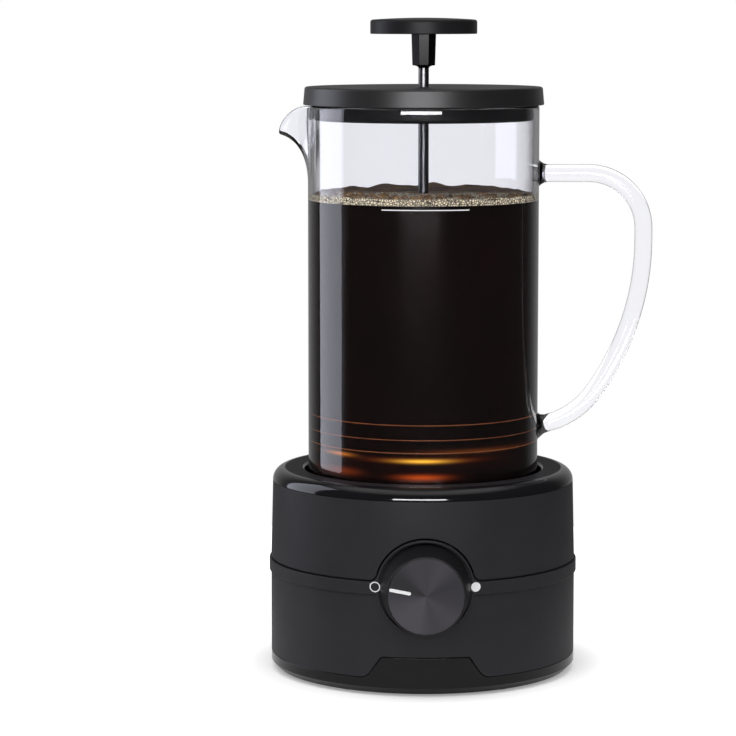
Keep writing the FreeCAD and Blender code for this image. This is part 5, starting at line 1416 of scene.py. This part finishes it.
def makeFloor():
    # a matt disc with a glow of its own where it is seen, which is weaker round the base: that paints shade
    # in a ring there and lets the cast shadow show; towards its rim the matt part fades, so that no edge is
    # mirrored in the glass
    level = studio["floorLevel"]
    floor = turned("floor", [(0, level), (studio["floorRadius"], level)], closed=False, segments=128)
    material = bpy.data.materials.new("paleFloor")
    material.use_nodes = True
    tree = material.node_tree
    tree.nodes.clear()
    end = addNode(tree, "ShaderNodeOutputMaterial", (700, 0))
    path = addNode(tree, "ShaderNodeLightPath", (-700, 300)).outputs
    reach = addVectorMath(tree, "LENGTH", (-700, 0), objectCoords(tree, (-900, 0)))
    fade = addRamp(tree, (-500, -250), reach, *studio["fadeEdge"], 1.0, 0.0)
    grey = addMath(tree, "MULTIPLY", (-200, 50), fade, studio["floorShade"])
    glow = addRamp(tree, (-500, 0), reach, *studio["glowEdge"], studio["glowNear"], studio["glowFar"],
                   soft=True)
    glow = addMath(tree, "ADD", (-300, 0), glow, addMath(tree, "SUBTRACT", (-300, -250), 1.0, fade))
    seen = addMath(tree, "MAXIMUM", (-450, 300), path["Is Camera Ray"], path["Is Transmission Ray"])
    mirrored = addMath(tree, "MULTIPLY", (-450, 150), path["Is Glossy Ray"], fade)
    mirrored = addMath(tree, "MULTIPLY", (-300, 150), mirrored, studio["glowMirrored"])
    shown = addMath(tree, "MULTIPLY", (-150, 300), seen, glow)
    strength = addMath(tree, "MAXIMUM", (0, 300), shown, mirrored)
    matt = addNode(tree, "ShaderNodeBsdfDiffuse", (0, 100))
    light = addNode(tree, "ShaderNodeEmission", (0, -100), {"Color": (1, 1, 1, 1)})
    link(tree, grey, matt.inputs["Color"])
    link(tree, strength, light.inputs["Strength"])
    both = addNode(tree, "ShaderNodeAddShader", (350, 0))
    link(tree, matt.outputs[0], both.inputs[0])
    link(tree, light.outputs[0], both.inputs[1])
    link(tree, both.outputs[0], end.inputs[0])
    floor.data.materials.append(material)


def makeWorld():
    # white to the camera and straight through the glass, a room to mirrors, a soft level to matt surfaces
    world = bpy.data.worlds.new("studio")
    bpy.context.scene.world = world
    world.use_nodes = True
    tree = world.node_tree
    tree.nodes.clear()
    end = addNode(tree, "ShaderNodeOutputWorld", (900, 0))
    path = addNode(tree, "ShaderNodeLightPath", (-900, 300)).outputs
    direct = addMath(tree, "LESS_THAN", (-650, 100), path["Glossy Depth"], 0.5)
    through = addMath(tree, "MULTIPLY", (-450, 200), path["Is Transmission Ray"], direct)
    white = addMath(tree, "MAXIMUM", (-250, 300), path["Is Camera Ray"], through)
    mirrored = addMath(tree, "MAXIMUM", (-250, 100), path["Is Glossy Ray"], path["Is Transmission Ray"])
    parts = placeParts(tree, (-700, -200), "Generated")
    behind = addRamp(tree, (-500, -200), parts[1], *studio["backEdge"], studio["frontReflection"],
                     studio["backReflection"], soft=True)
    overhead = addRamp(tree, (-500, -450), parts[2], *studio["overheadEdge"], 0.0,
                       studio["overheadReflection"], soft=True)
    bright = addMath(tree, "MAXIMUM", (-250, -300), behind, overhead)

    def backdrop(place, strength):
        node = addNode(tree, "ShaderNodeBackground", place, {"Color": (1, 1, 1, 1)})
        setValue(tree, node.inputs["Strength"], strength)
        return node.outputs[0]

    def choose(place, share, first, second):
        node = addNode(tree, "ShaderNodeMixShader", place)
        for socket, value in zip(node.inputs, (share, first, second)):
            link(tree, value, socket)
        return node.outputs[0]

    soft = backdrop((0, -200), studio["surroundDiffuse"])
    lit = choose((300, -50), mirrored, soft, backdrop((0, 0), bright))
    link(tree, choose((600, 50), white, lit, backdrop((0, 200), 1.0)), end.inputs[0])


def makeLamp(name, values):
    data = bpy.data.lights.new(name, "AREA")
    data.shape = "RECTANGLE"
    data.size, data.size_y = values["size"]
    data.energy = values["power"]
    data.color = values["colour"]
    lamp = bpy.data.objects.new(name, data)
    lamp.location = values["place"]
    way = Vector(values["target"]) - Vector(values["place"])
    lamp.rotation_euler = way.to_track_quat("-Z", "Y").to_euler()
    lamp.visible_camera = False
    lamp.visible_diffuse = values["diffuse"]
    lamp.visible_glossy = values["glossy"]
    bpy.context.scene.collection.objects.link(lamp)


makeFloor()
makeWorld()
for name, values in lamps.items():
    makeLamp(name, values)
print("studio made")
